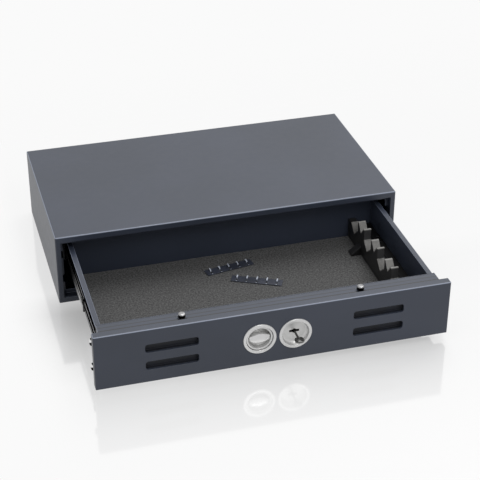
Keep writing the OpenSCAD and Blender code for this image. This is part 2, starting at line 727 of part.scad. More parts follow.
SLEEVE_SHORT = 1.5;
module handle_rosette() nickel() behind_front() turned(handle_x) {
    rosette_flange();
    translate([rosette_bore_r, -CUT]) square([sleeve_t, carrier_front - SLEEVE_SHORT + CUT]);
}

// The finger bar's outline: where two circles meet
module lens(l, h) {
    r = (l * l / 4 + h * h / 4) / h;
    intersection() {
        translate([0, r - h / 2]) circle(r, $fn = 96);
        translate([0, h / 2 - r]) circle(r, $fn = 96);
    }
}

module handle_cup() nickel() behind_front() {
    turned(handle_x) {
        translate([0, cup_back - cup_floor]) square([cup_r, cup_floor]);
        translate([cup_r - cup_rim, cup_setback]) square([cup_rim, cup_back - cup_setback]);
    }
    translate([handle_x, bar_setback, disc_z]) deep(cup_back - cup_floor - bar_setback) lens(bar_l, bar_h);
}

module spindle_bush() brass() behind_front() translate([handle_x, carrier_front, disc_z]) difference() {
    bar_y(bush_r, carrier_t);
    translate([0, -CUT, 0]) bar_y(spindle_r + FIT, carrier_t + 2 * CUT);
}

module handle_spindle() zinc() behind_front() translate([handle_x, cup_back, disc_z])
    bar_y(spindle_r, cam_back - cup_back);

// The cam disc: two notches for the lock's bolt, and two pins that drive the bars
NOTCH_GAP = 1;
module cam_disc() zinc() behind_front() translate([handle_x, cam_front, disc_z]) difference() {
    union() {
        bar_y(cam_r, cam_t);
        for (a = [-45, 135]) rotate([0, a, 0]) translate([0, cam_t / 2, pin_orbit])
            bar_y(pin_r, cam_t / 2 + LAYER_GAP + slide_bar_t + LAYER_GAP);
    }
    translate([0, -CUT, 0]) bar_y(spindle_r + FIT, cam_t + CUT);
    for (a = [0, 90]) rotate([0, -a, 0])
        block([cam_r - NOTCH_BITE - NOTCH_GAP, -CUT, -deadbolt_h / 2 - NOTCH_GAP],
            [cam_r + CUT, cam_t + CUT, deadbolt_h / 2 + NOTCH_GAP]);
}

// The slide bars, drawn for the right side: the beam, the tab with two sloping slots and the end plate
TAB_HALF = 16;
beam_z0 = slide_z - slide_bar_h / 2;
beam_z1 = slide_z + slide_bar_h / 2;
tab_x0 = bolt_x - throw / 2 - TAB_HALF;
tab_x1 = bolt_x - throw / 2 + TAB_HALF;
END_HALF = 6.5;
end_x0 = stub_x - END_HALF;
end_x1 = stub_x + END_HALF;
module bar_outline(beam_x0) difference() {
    union() {
        translate([beam_x0, beam_z0]) square([end_x1 - beam_x0, slide_bar_h]);
        translate([tab_x0, lower_pin_z - throw - TAB_MARGIN])
            square([tab_x1 - tab_x0, upper_pin_z - lower_pin_z + 2 * throw + 2 * TAB_MARGIN]);
        translate([end_x0, slide_z - bolt_pitch / 2 - TAB_MARGIN])
            square([end_x1 - end_x0, bolt_pitch + 2 * TAB_MARGIN]);
    }
    round_slot([bolt_x, upper_pin_z], [bolt_x - throw, upper_pin_z + throw], pin_r + PIN_PLAY);
    round_slot([bolt_x, lower_pin_z], [bolt_x - throw, lower_pin_z - throw], pin_r + PIN_PLAY);
    for (x = STUD_X) round_slot([x - throw - PIN_PLAY, slide_z], [x + PIN_PLAY, slide_z], STUD_R + FIT);
    for (z = side_bolt_z) translate([stub_x, z]) circle(SCREW_R + FIT);
}

// The end of a bar that takes the cam's pin, in an upright slot above or below the handle's axis
CAM_TAB_IN = 0.8;
CAM_TAB_H = 11;
CAM_TAB_END = 6;
cam_pin_dx = pin_orbit * sin(45);
slot_low = pin_orbit * cos(45) - PIN_PLAY;
slot_high = pin_orbit + PIN_PLAY;

module slide_bar_left() zinc() behind_front() translate([0, bar_front, 0]) mirror([1, 0, 0]) deep(slide_bar_t)
    difference() {
        union() {
            bar_outline(-handle_x + cam_pin_dx + 2 * CAM_TAB_END);
            translate([-handle_x - cam_pin_dx - CAM_TAB_END, disc_z - CAM_TAB_IN - CAM_TAB_H])
                square([2 * cam_pin_dx + 4 * CAM_TAB_END, CAM_TAB_H]);
        }
        round_slot([-handle_x - cam_pin_dx, disc_z - slot_low], [-handle_x - cam_pin_dx, disc_z - slot_high],
            pin_r + PIN_PLAY);
    }

// The right bar goes up and over the lock case
RISER_W = 12;
OVER_GAP = 2;
OVER_DROP = 6.5;
RISER_OUT = 10;
DROP_GAP = 4;
over_z0 = disc_z + case_h / 2 + OVER_GAP;
over_z1 = housing_z1 - housing_t - OVER_DROP;
riser_x = handle_x + RISER_OUT;
drop_x = lock_x + case_w / 2 + DROP_GAP;
module slide_bar_right() zinc() behind_front() translate([0, bar_front, 0]) deep(slide_bar_t) difference() {
    union() {
        bar_outline(drop_x);
        translate([drop_x, beam_z0]) square([RISER_W, over_z1 - beam_z0]);
        translate([riser_x, over_z0]) square([drop_x + RISER_W - riser_x, over_z1 - over_z0]);
        translate([riser_x, disc_z + CAM_TAB_IN]) square([RISER_W, over_z1 - disc_z - CAM_TAB_IN]);
        translate([handle_x - cam_pin_dx - CAM_TAB_END, disc_z + CAM_TAB_IN])
            square([riser_x + RISER_W - handle_x + cam_pin_dx + CAM_TAB_END, CAM_TAB_H]);
    }
    round_slot([handle_x - cam_pin_dx, disc_z + slot_low], [handle_x - cam_pin_dx, disc_z + slot_high],
        pin_r + PIN_PLAY);
}

// Studs on the carrier plate that guide the bars
module bar_studs() zinc() behind_front() for (side = [-1, 1], x = STUD_X) translate([side * x, 0, slide_z]) {
    translate([0, panel_d, 0]) bar_y(STUD_HEAD_R, bar_front - panel_d - SKIN);
    translate([0, panel_d, 0]) bar_y(STUD_R, bar_back + SKIN - panel_d);
    translate([0, bar_back + SKIN, 0]) bar_y(STUD_HEAD_R, STUD_CAP_T);
}

// A locking bolt along +Z, with its tip at z = l
module locking_bolt(l) {
    cylinder(r = bolt_r, h = l - bolt_chamfer, $fn = 64);
    translate([0, 0, l - bolt_chamfer])
        cylinder(r1 = bolt_r, r2 = bolt_r - bolt_chamfer, h = bolt_chamfer, $fn = 64);
}

module side_bolts(side) nickel() behind_front() for (z = side_bolt_z) mirror([side < 0 ? 1 : 0, 0, 0])
    translate([side_bolt_in, 0, z]) difference() {
        union() {
            translate([0, bolt_depth, 0]) rotate([0, 90, 0]) locking_bolt(bolt_l);
            translate([STUB_INSET, bar_back, 0]) bar_y(STUB_R, bolt_depth - bar_back);
        }
        translate([STUB_INSET, bar_back - CUT, 0]) bar_y(SCREW_R + FIT, SCREW_REACH / 2 + CUT);
    }
module side_bolts_left() side_bolts(-1);
module side_bolts_right() side_bolts(1);

module side_bolt_screws(side) zinc() behind_front() for (z = side_bolt_z)
    translate([side * stub_x, bar_front, z]) {
        bar_y(SCREW_R, slide_bar_t + SCREW_REACH / 2);
        translate([0, -SCREW_HEAD_T, 0]) bar_y(SCREW_HEAD_R, SCREW_HEAD_T);
    }
module side_bolt_screws_left() side_bolt_screws(-1);
module side_bolt_screws_right() side_bolt_screws(1);

// An upright bolt with the pin that runs in its bar's sloping slot
module upright_bolt(side, up) nickel() behind_front() translate([side * bolt_x, 0, 0]) {
    translate([0, bolt_depth, up > 0 ? upper_bolt_low : lower_bolt_high]) rotate([up > 0 ? 0 : 180, 0, 0])
        locking_bolt(bolt_l);
    translate([0, bar_front - LAYER_GAP, up > 0 ? upper_pin_z : lower_pin_z])
        bar_y(pin_r, bolt_depth - bar_front + LAYER_GAP);
}
module upper_bolt_left() upright_bolt(-1, 1);
module upper_bolt_right() upright_bolt(1, 1);
module lower_bolt_left() upright_bolt(-1, -1);
module lower_bolt_right() upright_bolt(1, -1);

// The keyhole: two wings and a round middle, in two dimensions
module keyhole() {
    round_slot([-keyhole_w / 2 + keyhole_h / 2, 0], [keyhole_w / 2 - keyhole_h / 2, 0], keyhole_h / 2);
    circle(keyhole_r);
}

BOWL_CURVE = 4;
module lock_rosette() nickel() behind_front() difference() {
    turned(lock_x) {
        rosette_flange();
        translate([rosette_bore_r, -CUT]) square([sleeve_t, bowl_d + bowl_floor + CUT]);
        translate([0, bowl_d]) square([rosette_bore_r + CUT, bowl_floor]);
        translate([rosette_bore_r - BOWL_CURVE, bowl_d - BOWL_CURVE]) difference() {
            square(BOWL_CURVE + CUT);
            circle(BOWL_CURVE);
        }
    }
    translate([lock_x, bowl_d - CUT, disc_z]) deep(bowl_floor + 2 * CUT) keyhole();
}

module at_case_screws() translate([lock_x, 0, disc_z]) for (x = [-1, 1], z = [-1, 1])
    translate([x * (case_w / 2 - CASE_SCREW_INSET), 0, z * (case_h / 2 - CASE_SCREW_INSET)]) children();

// The lock case, open towards the carrier plate, with a window for the lock's bolt
module lock_case() zinc() behind_front() difference() {
    block([case_x0, panel_d, disc_z - case_h / 2], [case_x0 + case_w, case_back, disc_z + case_h / 2]);
    block([case_x0 + case_t, panel_d - CUT, disc_z - case_h / 2 + case_t],
        [case_x0 + case_w - case_t, case_back - case_t, disc_z + case_h / 2 - case_t]);
    block([case_x0 - CUT, panel_d - CUT, disc_z - deadbolt_h / 2 - SKIN],
        [case_x0 + case_t + CUT, deadbolt_back + SKIN, disc_z + deadbolt_h / 2 + SKIN]);
    translate([lock_x, case_back - case_t - CUT, disc_z]) bar_y(JOURNAL_R + FIT, case_t + 2 * CUT);
    at_case_screws() translate([0, case_back - case_t - CUT, 0]) bar_y(CASE_SCREW_R + FIT, case_t + 2 * CUT);
}

module lock_case_screws() zinc() behind_front() at_case_screws() {
    translate([0, carrier_front, 0]) bar_y(CASE_SCREW_R, case_back - carrier_front);
    translate([0, case_back, 0]) bar_y(CASE_SCREW_R * 2, SCREW_HEAD_T);
}

module lock_drum() brass() behind_front() translate([lock_x, 0, disc_z]) difference() {
    union() {
        translate([0, drum_front, 0]) bar_y(drum_r, KEY_IN + DRUM_END);
        translate([0, key_tip, 0]) bar_y(JOURNAL_R, case_back - key_tip);
    }
    translate([0, drum_front - CUT, 0]) deep(key_tip + KEY_PLAY + CUT - drum_front) union() {
        square([key_w + 2 * KEY_PLAY, key_t + 2 * KEY_PLAY], center = true);
        circle(key_r + FIT);
    }
}

// The lock's bolt, which drops into a notch of the cam disc
module lock_bolt() brass() behind_front()
    block([deadbolt_tip, deadbolt_front, disc_z - deadbolt_h / 2],
        [lock_x - drum_r - DRUM_GAP, deadbolt_back, disc_z + deadbolt_h / 2]);

// The lock's levers on their post, round the drum
module lever_pack() brass() behind_front() translate([lock_x, 0, disc_z]) {
    for (i = [0:LEVER_COUNT - 1]) translate([0, deadbolt_back + LEVER_GAP + i * LEVER_STEP, 0]) deep(LEVER_T)
        difference() {
            union() {
                circle(LEVER_R);
                round_slot([0, 0], LEVER_POST, LEVER_ARM_R);
            }
            circle(drum_r + LEVER_GAP);
            translate(LEVER_POST) circle(LEVER_POST_R + FIT);
        }
    translate([LEVER_POST[0], panel_d, LEVER_POST[1]]) bar_y(LEVER_POST_R, case_d - case_t);
}

// The double-bit key: shaft, two stepped bits and a flat bow with a hole
BIT_STEPS = [2.2, 0.8, 2.8];
bit_step = BIT_L / (2 * len(BIT_STEPS) + 1);
KEY_NECK = 2;
BOW_CORNER = 5;
BOW_EDGE = 3;
module key() nickel() behind_front() translate([lock_x, 0, disc_z]) {
    shaft_y = bow_w / 2 - bow_reach - KEY_NECK;
    translate([0, shaft_y, 0]) bar_y(key_r, key_tip - shaft_y);
    difference() {
        block([-key_w / 2, key_tip - BIT_L, -key_t / 2], [key_w / 2, key_tip, key_t / 2]);
        for (i = [0:len(BIT_STEPS) - 1], side = [0, 1]) mirror([side, 0, 0])
            translate([key_w / 2 - BIT_STEPS[i], key_tip - BIT_L + (2 * i + 1) * bit_step, -key_t])
                cube([key_w, bit_step, 2 * key_t]);
    }
    translate([0, -bow_reach, -key_t / 2]) linear_extrude(key_t) difference() {
        round_rect(bow_w, bow_w, BOW_CORNER);
        translate([0, bow_hole_r + BOW_EDGE - bow_w / 2]) circle(bow_hole_r);
    }
}

// The rack's teeth, as points of distance from its back end and height above the felt
function low_notch(s, lift) = [[s, rack_low + lift], [s + LOW_RUN, rack_low - notch_d + lift],
    [s + low_span, rack_low + lift]];
function high_notch(s, lift) = [[s, rack_high + lift], [s + TIP_FLAT, rack_high + lift],
    [s + TIP_FLAT + high_run, rack_high - notch_d + lift], [s + TIP_FLAT + 2 * high_run, rack_high + lift],
    [s + 2 * TIP_FLAT + 2 * high_run, rack_high + lift]];
low_starts = [for (i = [0:rack_units]) RACK_END + i * rack_pitch];
high_starts = [for (i = [0:rack_units - 1]) RACK_END + low_span + i * rack_pitch];
rack_teeth = [for (i = [0:rack_units]) each
    concat(low_notch(low_starts[i], 0), i < rack_units ? high_notch(high_starts[i], 0) : [])];
rack_outline = concat([[0, 0], [0, rack_low]], rack_teeth, [[rack_l, rack_low], [rack_l, 0]]);
function backwards(points) = [for (i = [len(points) - 1:-1:0]) points[i]];

// Stands an outline of distance and height on the felt, as wide as the rack
module along_rack() translate([rack_x0, rack_y1, felt_z1]) mirror([0, 1, 0]) rotate([90, 0, 90])
    linear_extrude(rack_w) children();

module barrel_rack() black() {
    along_rack() polygon(rack_outline);
    foot_y = rack_y1 - FOOT_Y;
    translate([rack_x0, foot_y + FOOT_W / 2, felt_z1]) rotate([90, 0, 0]) linear_extrude(FOOT_W)
        polygon([[CUT, 0], [-FOOT_L, 0], [-FOOT_L, FOOT_TOE], [CUT, FOOT_H]]);
    difference() {
        block([rack_x1 - CUT, foot_y - FOOT_W, shelf_z - LUG_T],
            [tray_inner_half - LUG_T, foot_y + FOOT_W, shelf_z]);
        at_shelf_screws() translate([0, 0, -LUG_T - CUT])
            cylinder(r = CASE_SCREW_R + FIT, h = LUG_T + 2 * CUT);
    }
}
module at_shelf_screws() translate([tray_inner_half - SHELF_SCREW_IN, rack_y1 - FOOT_Y, shelf_z])
    for (y = [-1, 1]) translate([0, y * SHELF_SCREW_PITCH / 2, 0]) children();

module rack_lining() color([0.5, 0.5, 0.5]) along_rack() {
    for (s = low_starts) polygon(concat(low_notch(s, 0), backwards(low_notch(s, lining_t))));
    for (s = high_starts) polygon(concat(high_notch(s, 0), backwards(high_notch(s, lining_t))));
}

// The angle on the tray's right wall that the rack is screwed to
RIB_X = 15;
RIB_W = 3;
RIB_T = 1.5;
SHELF_LEG = 14;
module rack_shelf() black() difference() {
    translate([0, rack_y1, shelf_z]) union() {
        block([rack_x1, -rack_l, 0], [tray_inner_half, 0, SHELF_T]);
        block([tray_inner_half - SHELF_T, -rack_l, -SHELF_LEG], [tray_inner_half, 0, SHELF_T]);
        block([rack_x1 + RIB_X, -rack_l, 0], [rack_x1 + RIB_X + RIB_W, 0, SHELF_T + RIB_T]);
    }
    at_shelf_screws() translate([0, 0, -CUT]) cylinder(r = CASE_SCREW_R + FIT, h = SHELF_T + 2 * CUT);
}
module rack_screws() zinc() at_shelf_screws() {
    translate([0, 0, -LUG_T - SCREW_END]) cylinder(r = CASE_SCREW_R, h = LUG_T + SCREW_END + SHELF_T);
    translate([0, 0, SHELF_T]) cylinder(r = SHELF_HEAD_R, h = SHELF_HEAD_T);
}

// A loose strip of sheet with hooks cut from it: each rises from the plate and then points to its rear edge
module hook_strip() {
    hook_x = [for (i = [0:hook_count - 1]) (i - (hook_count - 1) / 2) * hook_pitch];
    difference() {
        translate([-strip_l / 2, -strip_w / 2, 0]) cube([strip_l, strip_w, strip_t]);
        for (x = hook_x) translate([x - hook_w / 2 - HOOK_CUT, -HOOK_HOLE, -CUT])
            cube([hook_w + 2 * HOOK_CUT, HOOK_HOLE, strip_t + 2 * CUT]);
    }
    for (x = hook_x) translate([x - hook_w / 2, 0, 0]) {
        cube([hook_w, strip_t, hook_h]);
        translate([0, 0, hook_h - strip_t]) cube([hook_w, hook_reach, strip_t]);
        translate([0, hook_reach - strip_t, hook_h - strip_t]) cube([hook_w, strip_t, strip_t + HOOK_LIP]);
    }
}
module hook_strips() black() for (p = STRIP_PLACES)
    translate([p[0], p[1], felt_z1]) rotate(p[2]) hook_strip();

casing_shell();
back_panel();
keeper_left();
keeper_right();
keeper_top();
keeper_bottom();
slide_bracket_left();
slide_bracket_right();
cabinet_rail_left();
cabinet_rail_right();
cabinet_rail_screws();
outer_ball_cage_left();
outer_ball_cage_right();
middle_rail_left();
middle_rail_right();
rail_stop_left();
rail_stop_right();
inner_ball_cage_left();
inner_ball_cage_right();
drawer_rail_left();
drawer_rail_right();
drawer_rail_screws();
front_panel();
carrier_plate();
slot_liners();
bolt_housing();
housing_cover();
cover_posts();
cover_screws();
drawer_tray();
felt_mat();
bolt_guides();
bar_studs();
spindle_bush();
handle_rosette();
handle_cup();
handle_spindle();
cam_disc();
slide_bar_left();
slide_bar_right();
side_bolts_left();
side_bolts_right();
side_bolt_screws_left();
side_bolt_screws_right();
upper_bolt_left();
upper_bolt_right();
lower_bolt_left();
lower_bolt_right();
lock_rosette();
lock_case();
lock_case_screws();
lock_drum();
lever_pack();
lock_bolt();
key();
barrel_rack();
rack_lining();
rack_shelf();
rack_screws();
hook_strips();
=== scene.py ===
# %% [markdown]
# # A drawer safe on a white table
#
# The safe is a flat steel box with a drawer on ball slides. Its construction is loaded as a fixed
# frame: every node is already at its real place and size, in metres, with +Z up and the front
# towards -Y. This lesson gives each node its finish, and models anew the pieces whose edges, curves
# or cloth a plain solid can't show.

# %% Load the frame
import json
from math import asin, copysign, cos, degrees, exp, pi, radians, sin, tan, tau

import bmesh
import bpy
from mathutils import Matrix, Vector, noise

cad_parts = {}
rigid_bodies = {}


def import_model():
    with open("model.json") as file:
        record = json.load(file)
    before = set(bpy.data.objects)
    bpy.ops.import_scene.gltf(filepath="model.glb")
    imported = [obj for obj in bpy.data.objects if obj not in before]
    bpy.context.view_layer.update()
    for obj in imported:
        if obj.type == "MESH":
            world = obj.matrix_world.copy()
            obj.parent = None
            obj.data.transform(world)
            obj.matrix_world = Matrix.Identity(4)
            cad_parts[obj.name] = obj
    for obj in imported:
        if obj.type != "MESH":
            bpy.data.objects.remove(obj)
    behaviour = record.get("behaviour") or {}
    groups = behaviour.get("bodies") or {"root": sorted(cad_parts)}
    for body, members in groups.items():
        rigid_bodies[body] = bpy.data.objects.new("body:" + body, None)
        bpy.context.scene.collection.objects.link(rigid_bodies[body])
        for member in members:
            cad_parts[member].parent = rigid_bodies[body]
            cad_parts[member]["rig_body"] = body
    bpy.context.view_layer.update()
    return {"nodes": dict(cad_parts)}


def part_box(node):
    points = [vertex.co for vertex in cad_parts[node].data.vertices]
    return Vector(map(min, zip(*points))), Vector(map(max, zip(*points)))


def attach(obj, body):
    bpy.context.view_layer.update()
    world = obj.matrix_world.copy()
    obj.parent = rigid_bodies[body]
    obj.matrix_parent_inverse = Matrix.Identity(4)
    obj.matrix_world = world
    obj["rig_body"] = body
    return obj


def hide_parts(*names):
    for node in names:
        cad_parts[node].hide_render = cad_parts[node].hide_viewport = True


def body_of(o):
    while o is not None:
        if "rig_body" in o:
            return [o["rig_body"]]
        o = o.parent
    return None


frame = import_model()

nodes = frame["nodes"]
print("nodes loaded:", len(nodes))

# %% [markdown]
# ## Lengths, colours and objects
#
# Real sizes of sheet metal and screws are small, so they read best in millimetres. Paint and metal
# tones are known as ordinary screen colours from 0 to 255, while a shader wants linear light, so one
# helper turns the first into the second. Others turn by degrees and put an object into the scene.

# %% Units, colours and objects
MM = 0.001
SIDES = ("left", "right")


def colour(red, green, blue):
    """A screen colour from 0 to 255 as linear light."""
    def linear(value):
        share = value / 255
        return share / 12.92 if share <= 0.04045 else ((share + 0.055) / 1.055) ** 2.4
    return (linear(red), linear(green), linear(blue), 1.0)


def turn_by(angle, axis):
    return Matrix.Rotation(radians(angle), 4, axis)


def add(name, data):
    thing = bpy.data.objects.new(name, data)
    bpy.context.scene.collection.objects.link(thing)
    return thing


print("mid grey as linear light:", round(colour(118, 118, 118)[0], 3))

# %% [markdown]
# ## The camera
#
# The picture was taken from the left, above and in front. A long lens far away would flatten the box
# and a wide one would spread it, so place, turns and focal length were solved together, from the
# corners of the casing and of the drawer's front.

# %% Set up the camera
CAMERA_PLACE = Vector((-0.62246, -2.46364, 1.50378))
CAMERA_TURN = -15.77534        # degrees about the vertical, from looking along +Y
CAMERA_TIP = 59.05405          # degrees up from looking straight down
CAMERA_ROLL = 0.104
FOCAL_LENGTH = 103.02          # mm, on a sensor 36 mm wide

camera_data = bpy.data.cameras.new("camera")
camera_data.lens = FOCAL_LENGTH
camera_data.sensor_width = 36.0
camera_data.clip_end = 30.0
camera = add("camera", camera_data)
camera.matrix_world = (Matrix.Translation(CAMERA_PLACE)
    @ turn_by(CAMERA_TURN, "Z") @ turn_by(CAMERA_TIP, "X") @ turn_by(CAMERA_ROLL, "Z"))
bpy.context.scene.camera = camera
bpy.context.scene.view_settings.view_transform = "Standard"
print("distance to the casing:", round(camera.location.length, 3), "m")

# %% [markdown]
# ## Shader maths as plain expressions
#
# A finish is mostly arithmetic on noise: so much speckle, times a tone, minus a shadow. Adding each
# Math node by hand hides that. A small class holds one output socket and overloads the operators, so
# `1 - mask * 0.3` builds its own nodes. Everything else, from a noise texture to a colour mix, comes
# from one method that takes the node's type, what its sockets get, and its settings.

# %% Wires and finishes
ALL_WAYS = (1.0, 1.0, 1.0)


class Wire:
    """One output socket, which takes part in sums, differences and products."""

    def __init__(self, finish, socket):
        self.finish = finish
        self.socket = socket

    def maths(self, operation, first, second):
        return self.finish.node("ShaderNodeMath", {0: first, 1: second}, operation=operation)

    def __add__(self, other):
        return self.maths("ADD", self, other)

    def __sub__(self, other):
        return self.maths("SUBTRACT", self, other)

    def __rsub__(self, other):
        return self.maths("SUBTRACT", other, self)

    def __mul__(self, other):
        return self.maths("MULTIPLY", self, other)

    __radd__ = __add__
    __rmul__ = __mul__


class Finish:
    """A material or a world, its shader, and the means to add nodes to it."""

    def __init__(self, name, kind=bpy.data.materials, shader="Principled BSDF", **fixed):
        self.material = kind.new(name)
        self.material.use_nodes = True
        self.tree = self.material.node_tree
        self.shader = self.tree.nodes[shader]
        self.wear(**fixed)

    def put(self, socket, value):
        if isinstance(value, Wire):
            self.tree.links.new(value.socket, socket)
        else:
            socket.default_value = value

    def wear(self, **worn):
        """Sets the shader's own sockets, such as base_color, to numbers or wires."""
        for name, value in worn.items():
            self.put(self.shader.inputs[name.replace("_", " ").title().replace("Ior", "IOR")], value)
        return self

    def node(self, kind, sockets=None, out=0, **settings):
        made = self.tree.nodes.new(kind)
        for name, value in settings.items():
            setattr(made, name, value)
        for name, value in (sockets or {}).items():
            self.put(made.inputs[name], value)
        return Wire(self, made.outputs[out])

    def part(self, axis, of="Object"):
        """One axis of the place on the object, or of the way the surface faces (of="Normal")."""
        return self.node("ShaderNodeSeparateXYZ", {0: self.node("ShaderNodeTexCoord", out=of)}, out=axis)

    def noise(self, scale, detail=2.0, stretch=ALL_WAYS):
        here = self.node("ShaderNodeTexCoord", out="Object")
        place = self.node("ShaderNodeVectorMath", {0: here, 1: stretch}, operation="MULTIPLY")
        return self.node("ShaderNodeTexNoise", {"Vector": place, "Scale": scale, "Detail": detail})

    def ramp(self, value, low, high):
        """0 below low, 1 above high, and even between them."""
        return self.node("ShaderNodeMapRange", {0: value, 1: low, 2: high})

    def band(self, value, low, full, falling, high):
        """0 below low, 1 from full to falling, and 0 again above high."""
        return self.ramp(value, low, full) * (1 - self.ramp(value, falling, high))

    def bump(self, height, depth):
        return self.node("ShaderNodeBump", {"Height": height, "Distance": depth})

    def mix(self, factor, first, second):
        return self.node("ShaderNodeMix", {0: factor, 6: first, 7: second}, out=2, data_type="RGBA")

    def shown(self):
        """1 for what the camera sees directly or as a mirror image, and 0 for all other light."""
        seen = self.node("ShaderNodeLightPath", out="Is Camera Ray")
        mirrored = self.node("ShaderNodeLightPath", out="Is Glossy Ray")
        return self.node("ShaderNodeMath", {0: seen, 1: mirrored}, operation="MAXIMUM")

    def tint(self, value, low, high, dark, light):
        """A base colour that goes from dark to light as the value goes from low to high."""
        return self.wear(base_color=self.mix(self.ramp(value, low, high), colour(*dark), colour(*light)))

    def cover(self, share, tone):
        """Lays a share of another tone over the base colour."""
        so_far = Wire(self, self.shader.inputs["Base Color"].links[0].from_socket)
        return self.wear(base_color=self.mix(share, so_far, colour(*tone)))


print("finishes ready")

# %% [markdown]
# ## The steel's paint
#
# The safe is powder coated in anthracite: a blue grey of fine texture with a satin gloss. Powder
# flows out to a faint orange peel about a millimetre across, and its pigment varies a little over
# the sheet. The peel is bump only, because it is far too shallow to model. The roughness varies too,
# so that the gloss breaks up the way the real coat's does.

# %% Powder coat
PAINT_DARK = (43, 49, 61)
PAINT_LIGHT = (52, 58, 72)
PEEL_DEPTH = 0.02 * MM

paint = Finish("anthracite powder coat", metallic=0.0)
speck = paint.noise(1900.0, 1.0)
paint.tint(paint.noise(5.0, 3.0) * 0.6 + speck * 0.4, 0.35, 0.65, PAINT_DARK, PAINT_LIGHT)
paint.wear(roughness=0.37 + paint.noise(60.0) * 0.1,
    normal=paint.bump(paint.noise(620.0) + speck * 0.5, PEEL_DEPTH))
print("paint nodes:", len(paint.tree.nodes))

# %% [markdown]
# Along the folds a surface that tilts between level and upright gets a lighter tone, a painted highlight
# for the light the folds catch, but not inside the slots, which stay dark. On edges that face the rear
# a dark tone is painted instead, as painted shade, and the same painted shade draws the two fine
# joints along the top of the bolts' housing as thin shadow lines.

# %% Folds and joints
FOLD_HIGHLIGHT = (150, 158, 176)
FOLD_SHADE = (12, 14, 18)
FOLD_HIGHLIGHT_SHARE = 0.75
SLOT_HEIGHTS = (0.025, 0.03, 0.104, 0.108)         # each band begins and ends softly
HOUSING_TOP = (0.1215, 0.1225, 0.1255, 0.127)
JOINT_SHADOWS = ((-0.4876, -0.4832, 0.9), (-0.4753, -0.4733, 0.8))     # from y, to y, share
JOINT_EDGE = 0.2 * MM

height, inward = paint.part("Z"), paint.part("Y")
tilted = paint.band(paint.part("Z", "Normal"), 0.12, 0.5, 0.8, 0.98)
behind = paint.ramp(paint.part("Y", "Normal"), 0.1, 0.4)
outside_slots = 1 - paint.band(height, *SLOT_HEIGHTS)
# painted highlight: a lighter tone on tilted surfaces outside the slots that don't face the rear
paint.cover(tilted * outside_slots * (1 - behind) * FOLD_HIGHLIGHT_SHARE, FOLD_HIGHLIGHT)
# painted shadow lines along the two joints on the housing's top
for start, end, share in JOINT_SHADOWS:
    line = paint.band(inward, start, start + JOINT_EDGE, end - JOINT_EDGE, end)
    paint.cover(line * paint.band(height, *HOUSING_TOP) * share, FOLD_SHADE)
# painted shade on tilted edges that face the rear
paint.cover(tilted * behind, FOLD_SHADE)
print("paint nodes with its folds:", len(paint.tree.nodes))

# %% [markdown]
# ## Bare metals
#
# Rails and brackets are zinc plated: bluish grey, with faint streaks along the way they were drawn.
# Where they lie in the casing's shade, a darkened zinc stands in as painted shade. The key is worn
# nickel, and the lock has some brass. They are told apart by tone, roughness and the direction of their
# grain.

# %% Zinc, nickel and brass
DRAWN = (1.0, 0.04, 1.0)
GRAIN_DEPTH = 0.01 * MM


def metal(name, dark, light, rough, streak=ALL_WAYS, **fixed):
    skin = Finish(name, metallic=1.0)
    grain = skin.noise(420.0, 2.0, streak)
    skin.tint(skin.noise(24.0, 3.0), 0.35, 0.65, dark, light)
    return skin.wear(roughness=rough - 0.06 + grain * 0.12, normal=skin.bump(grain, GRAIN_DEPTH), **fixed)


zinc = metal("zinc plate", (158, 162, 168), (190, 193, 198), 0.34, DRAWN)
# darkened zinc: painted shade for brackets, cabinet rails, cages and screws that lie in shade
shaded_zinc = metal("bracket zinc darkened as shade", (44, 45, 47), (60, 61, 63), 0.5, DRAWN)
rail_zinc = metal("oiled rail zinc", (150, 151, 153), (184, 185, 187), 0.3, DRAWN)
# bright edge lines of the rails: painted highlight
edge_highlight = metal("zinc edge highlight", (206, 206, 207), (228, 228, 229), 0.35, DRAWN, metallic=0.4)
dark_nickel = metal("worn key nickel", (70, 70, 69), (112, 112, 111), 0.32)
brass = metal("lock brass", (178, 142, 78), (204, 170, 102), 0.32)
print("zinc nodes:", len(zinc.tree.nodes))

# %% [markdown]
# The bolts are bright, so they show the room above them and the dark safe beside them. That split is
# sharp in the picture, and it is painted into the tone as a painted reflection: upright bolts stay
# bright on top and on their right, and side bolts on their upper half, while the rest gets a dark tone
# for the safe they mirror. Only the bright part of a side bolt is metallic.

# %% Steel of the bolts
BOLT_SHADE = (22, 22, 23)
SIDE_SHADE = (16, 16, 17)
SIDE_RADIUS = 7.0 * MM
SIDE_HEIGHTS = (46.0, 72.0, 100.0)     # lower axis, half way and upper axis, in mm
SLANT_Y, SLANT_Z = 0.5, 0.86           # the split leans forward
SPLIT = 0.4 * MM

bolt_steel = metal("turned bolt steel", (124, 124, 125), (150, 150, 151), 0.28)
on_top = bolt_steel.ramp(bolt_steel.part("Z", "Normal"), 0.05, 0.45)
to_right = bolt_steel.ramp(bolt_steel.part("X", "Normal"), 0.55, 0.75)
# painted reflection: dark where the upright bolts face down or to the left
bolt_steel.cover((1 - on_top) * (1 - to_right), BOLT_SHADE)

side_steel = metal("turned side bolt steel", (214, 214, 214), (230, 230, 230), 0.3, specular_ior_level=0.0)
side_axis = SLANT_Y * (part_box("side_bolts_left")[1].y - SIDE_RADIUS)
lower, between, upper = [side_axis + SLANT_Z * z * MM for z in SIDE_HEIGHTS]
slant = side_steel.part("Y") * SLANT_Y + side_steel.part("Z") * SLANT_Z
upper_half = (side_steel.band(slant, lower - SPLIT, lower + SPLIT, between, between + 1.0 * MM)
    + side_steel.ramp(slant, upper - SPLIT, upper + SPLIT))
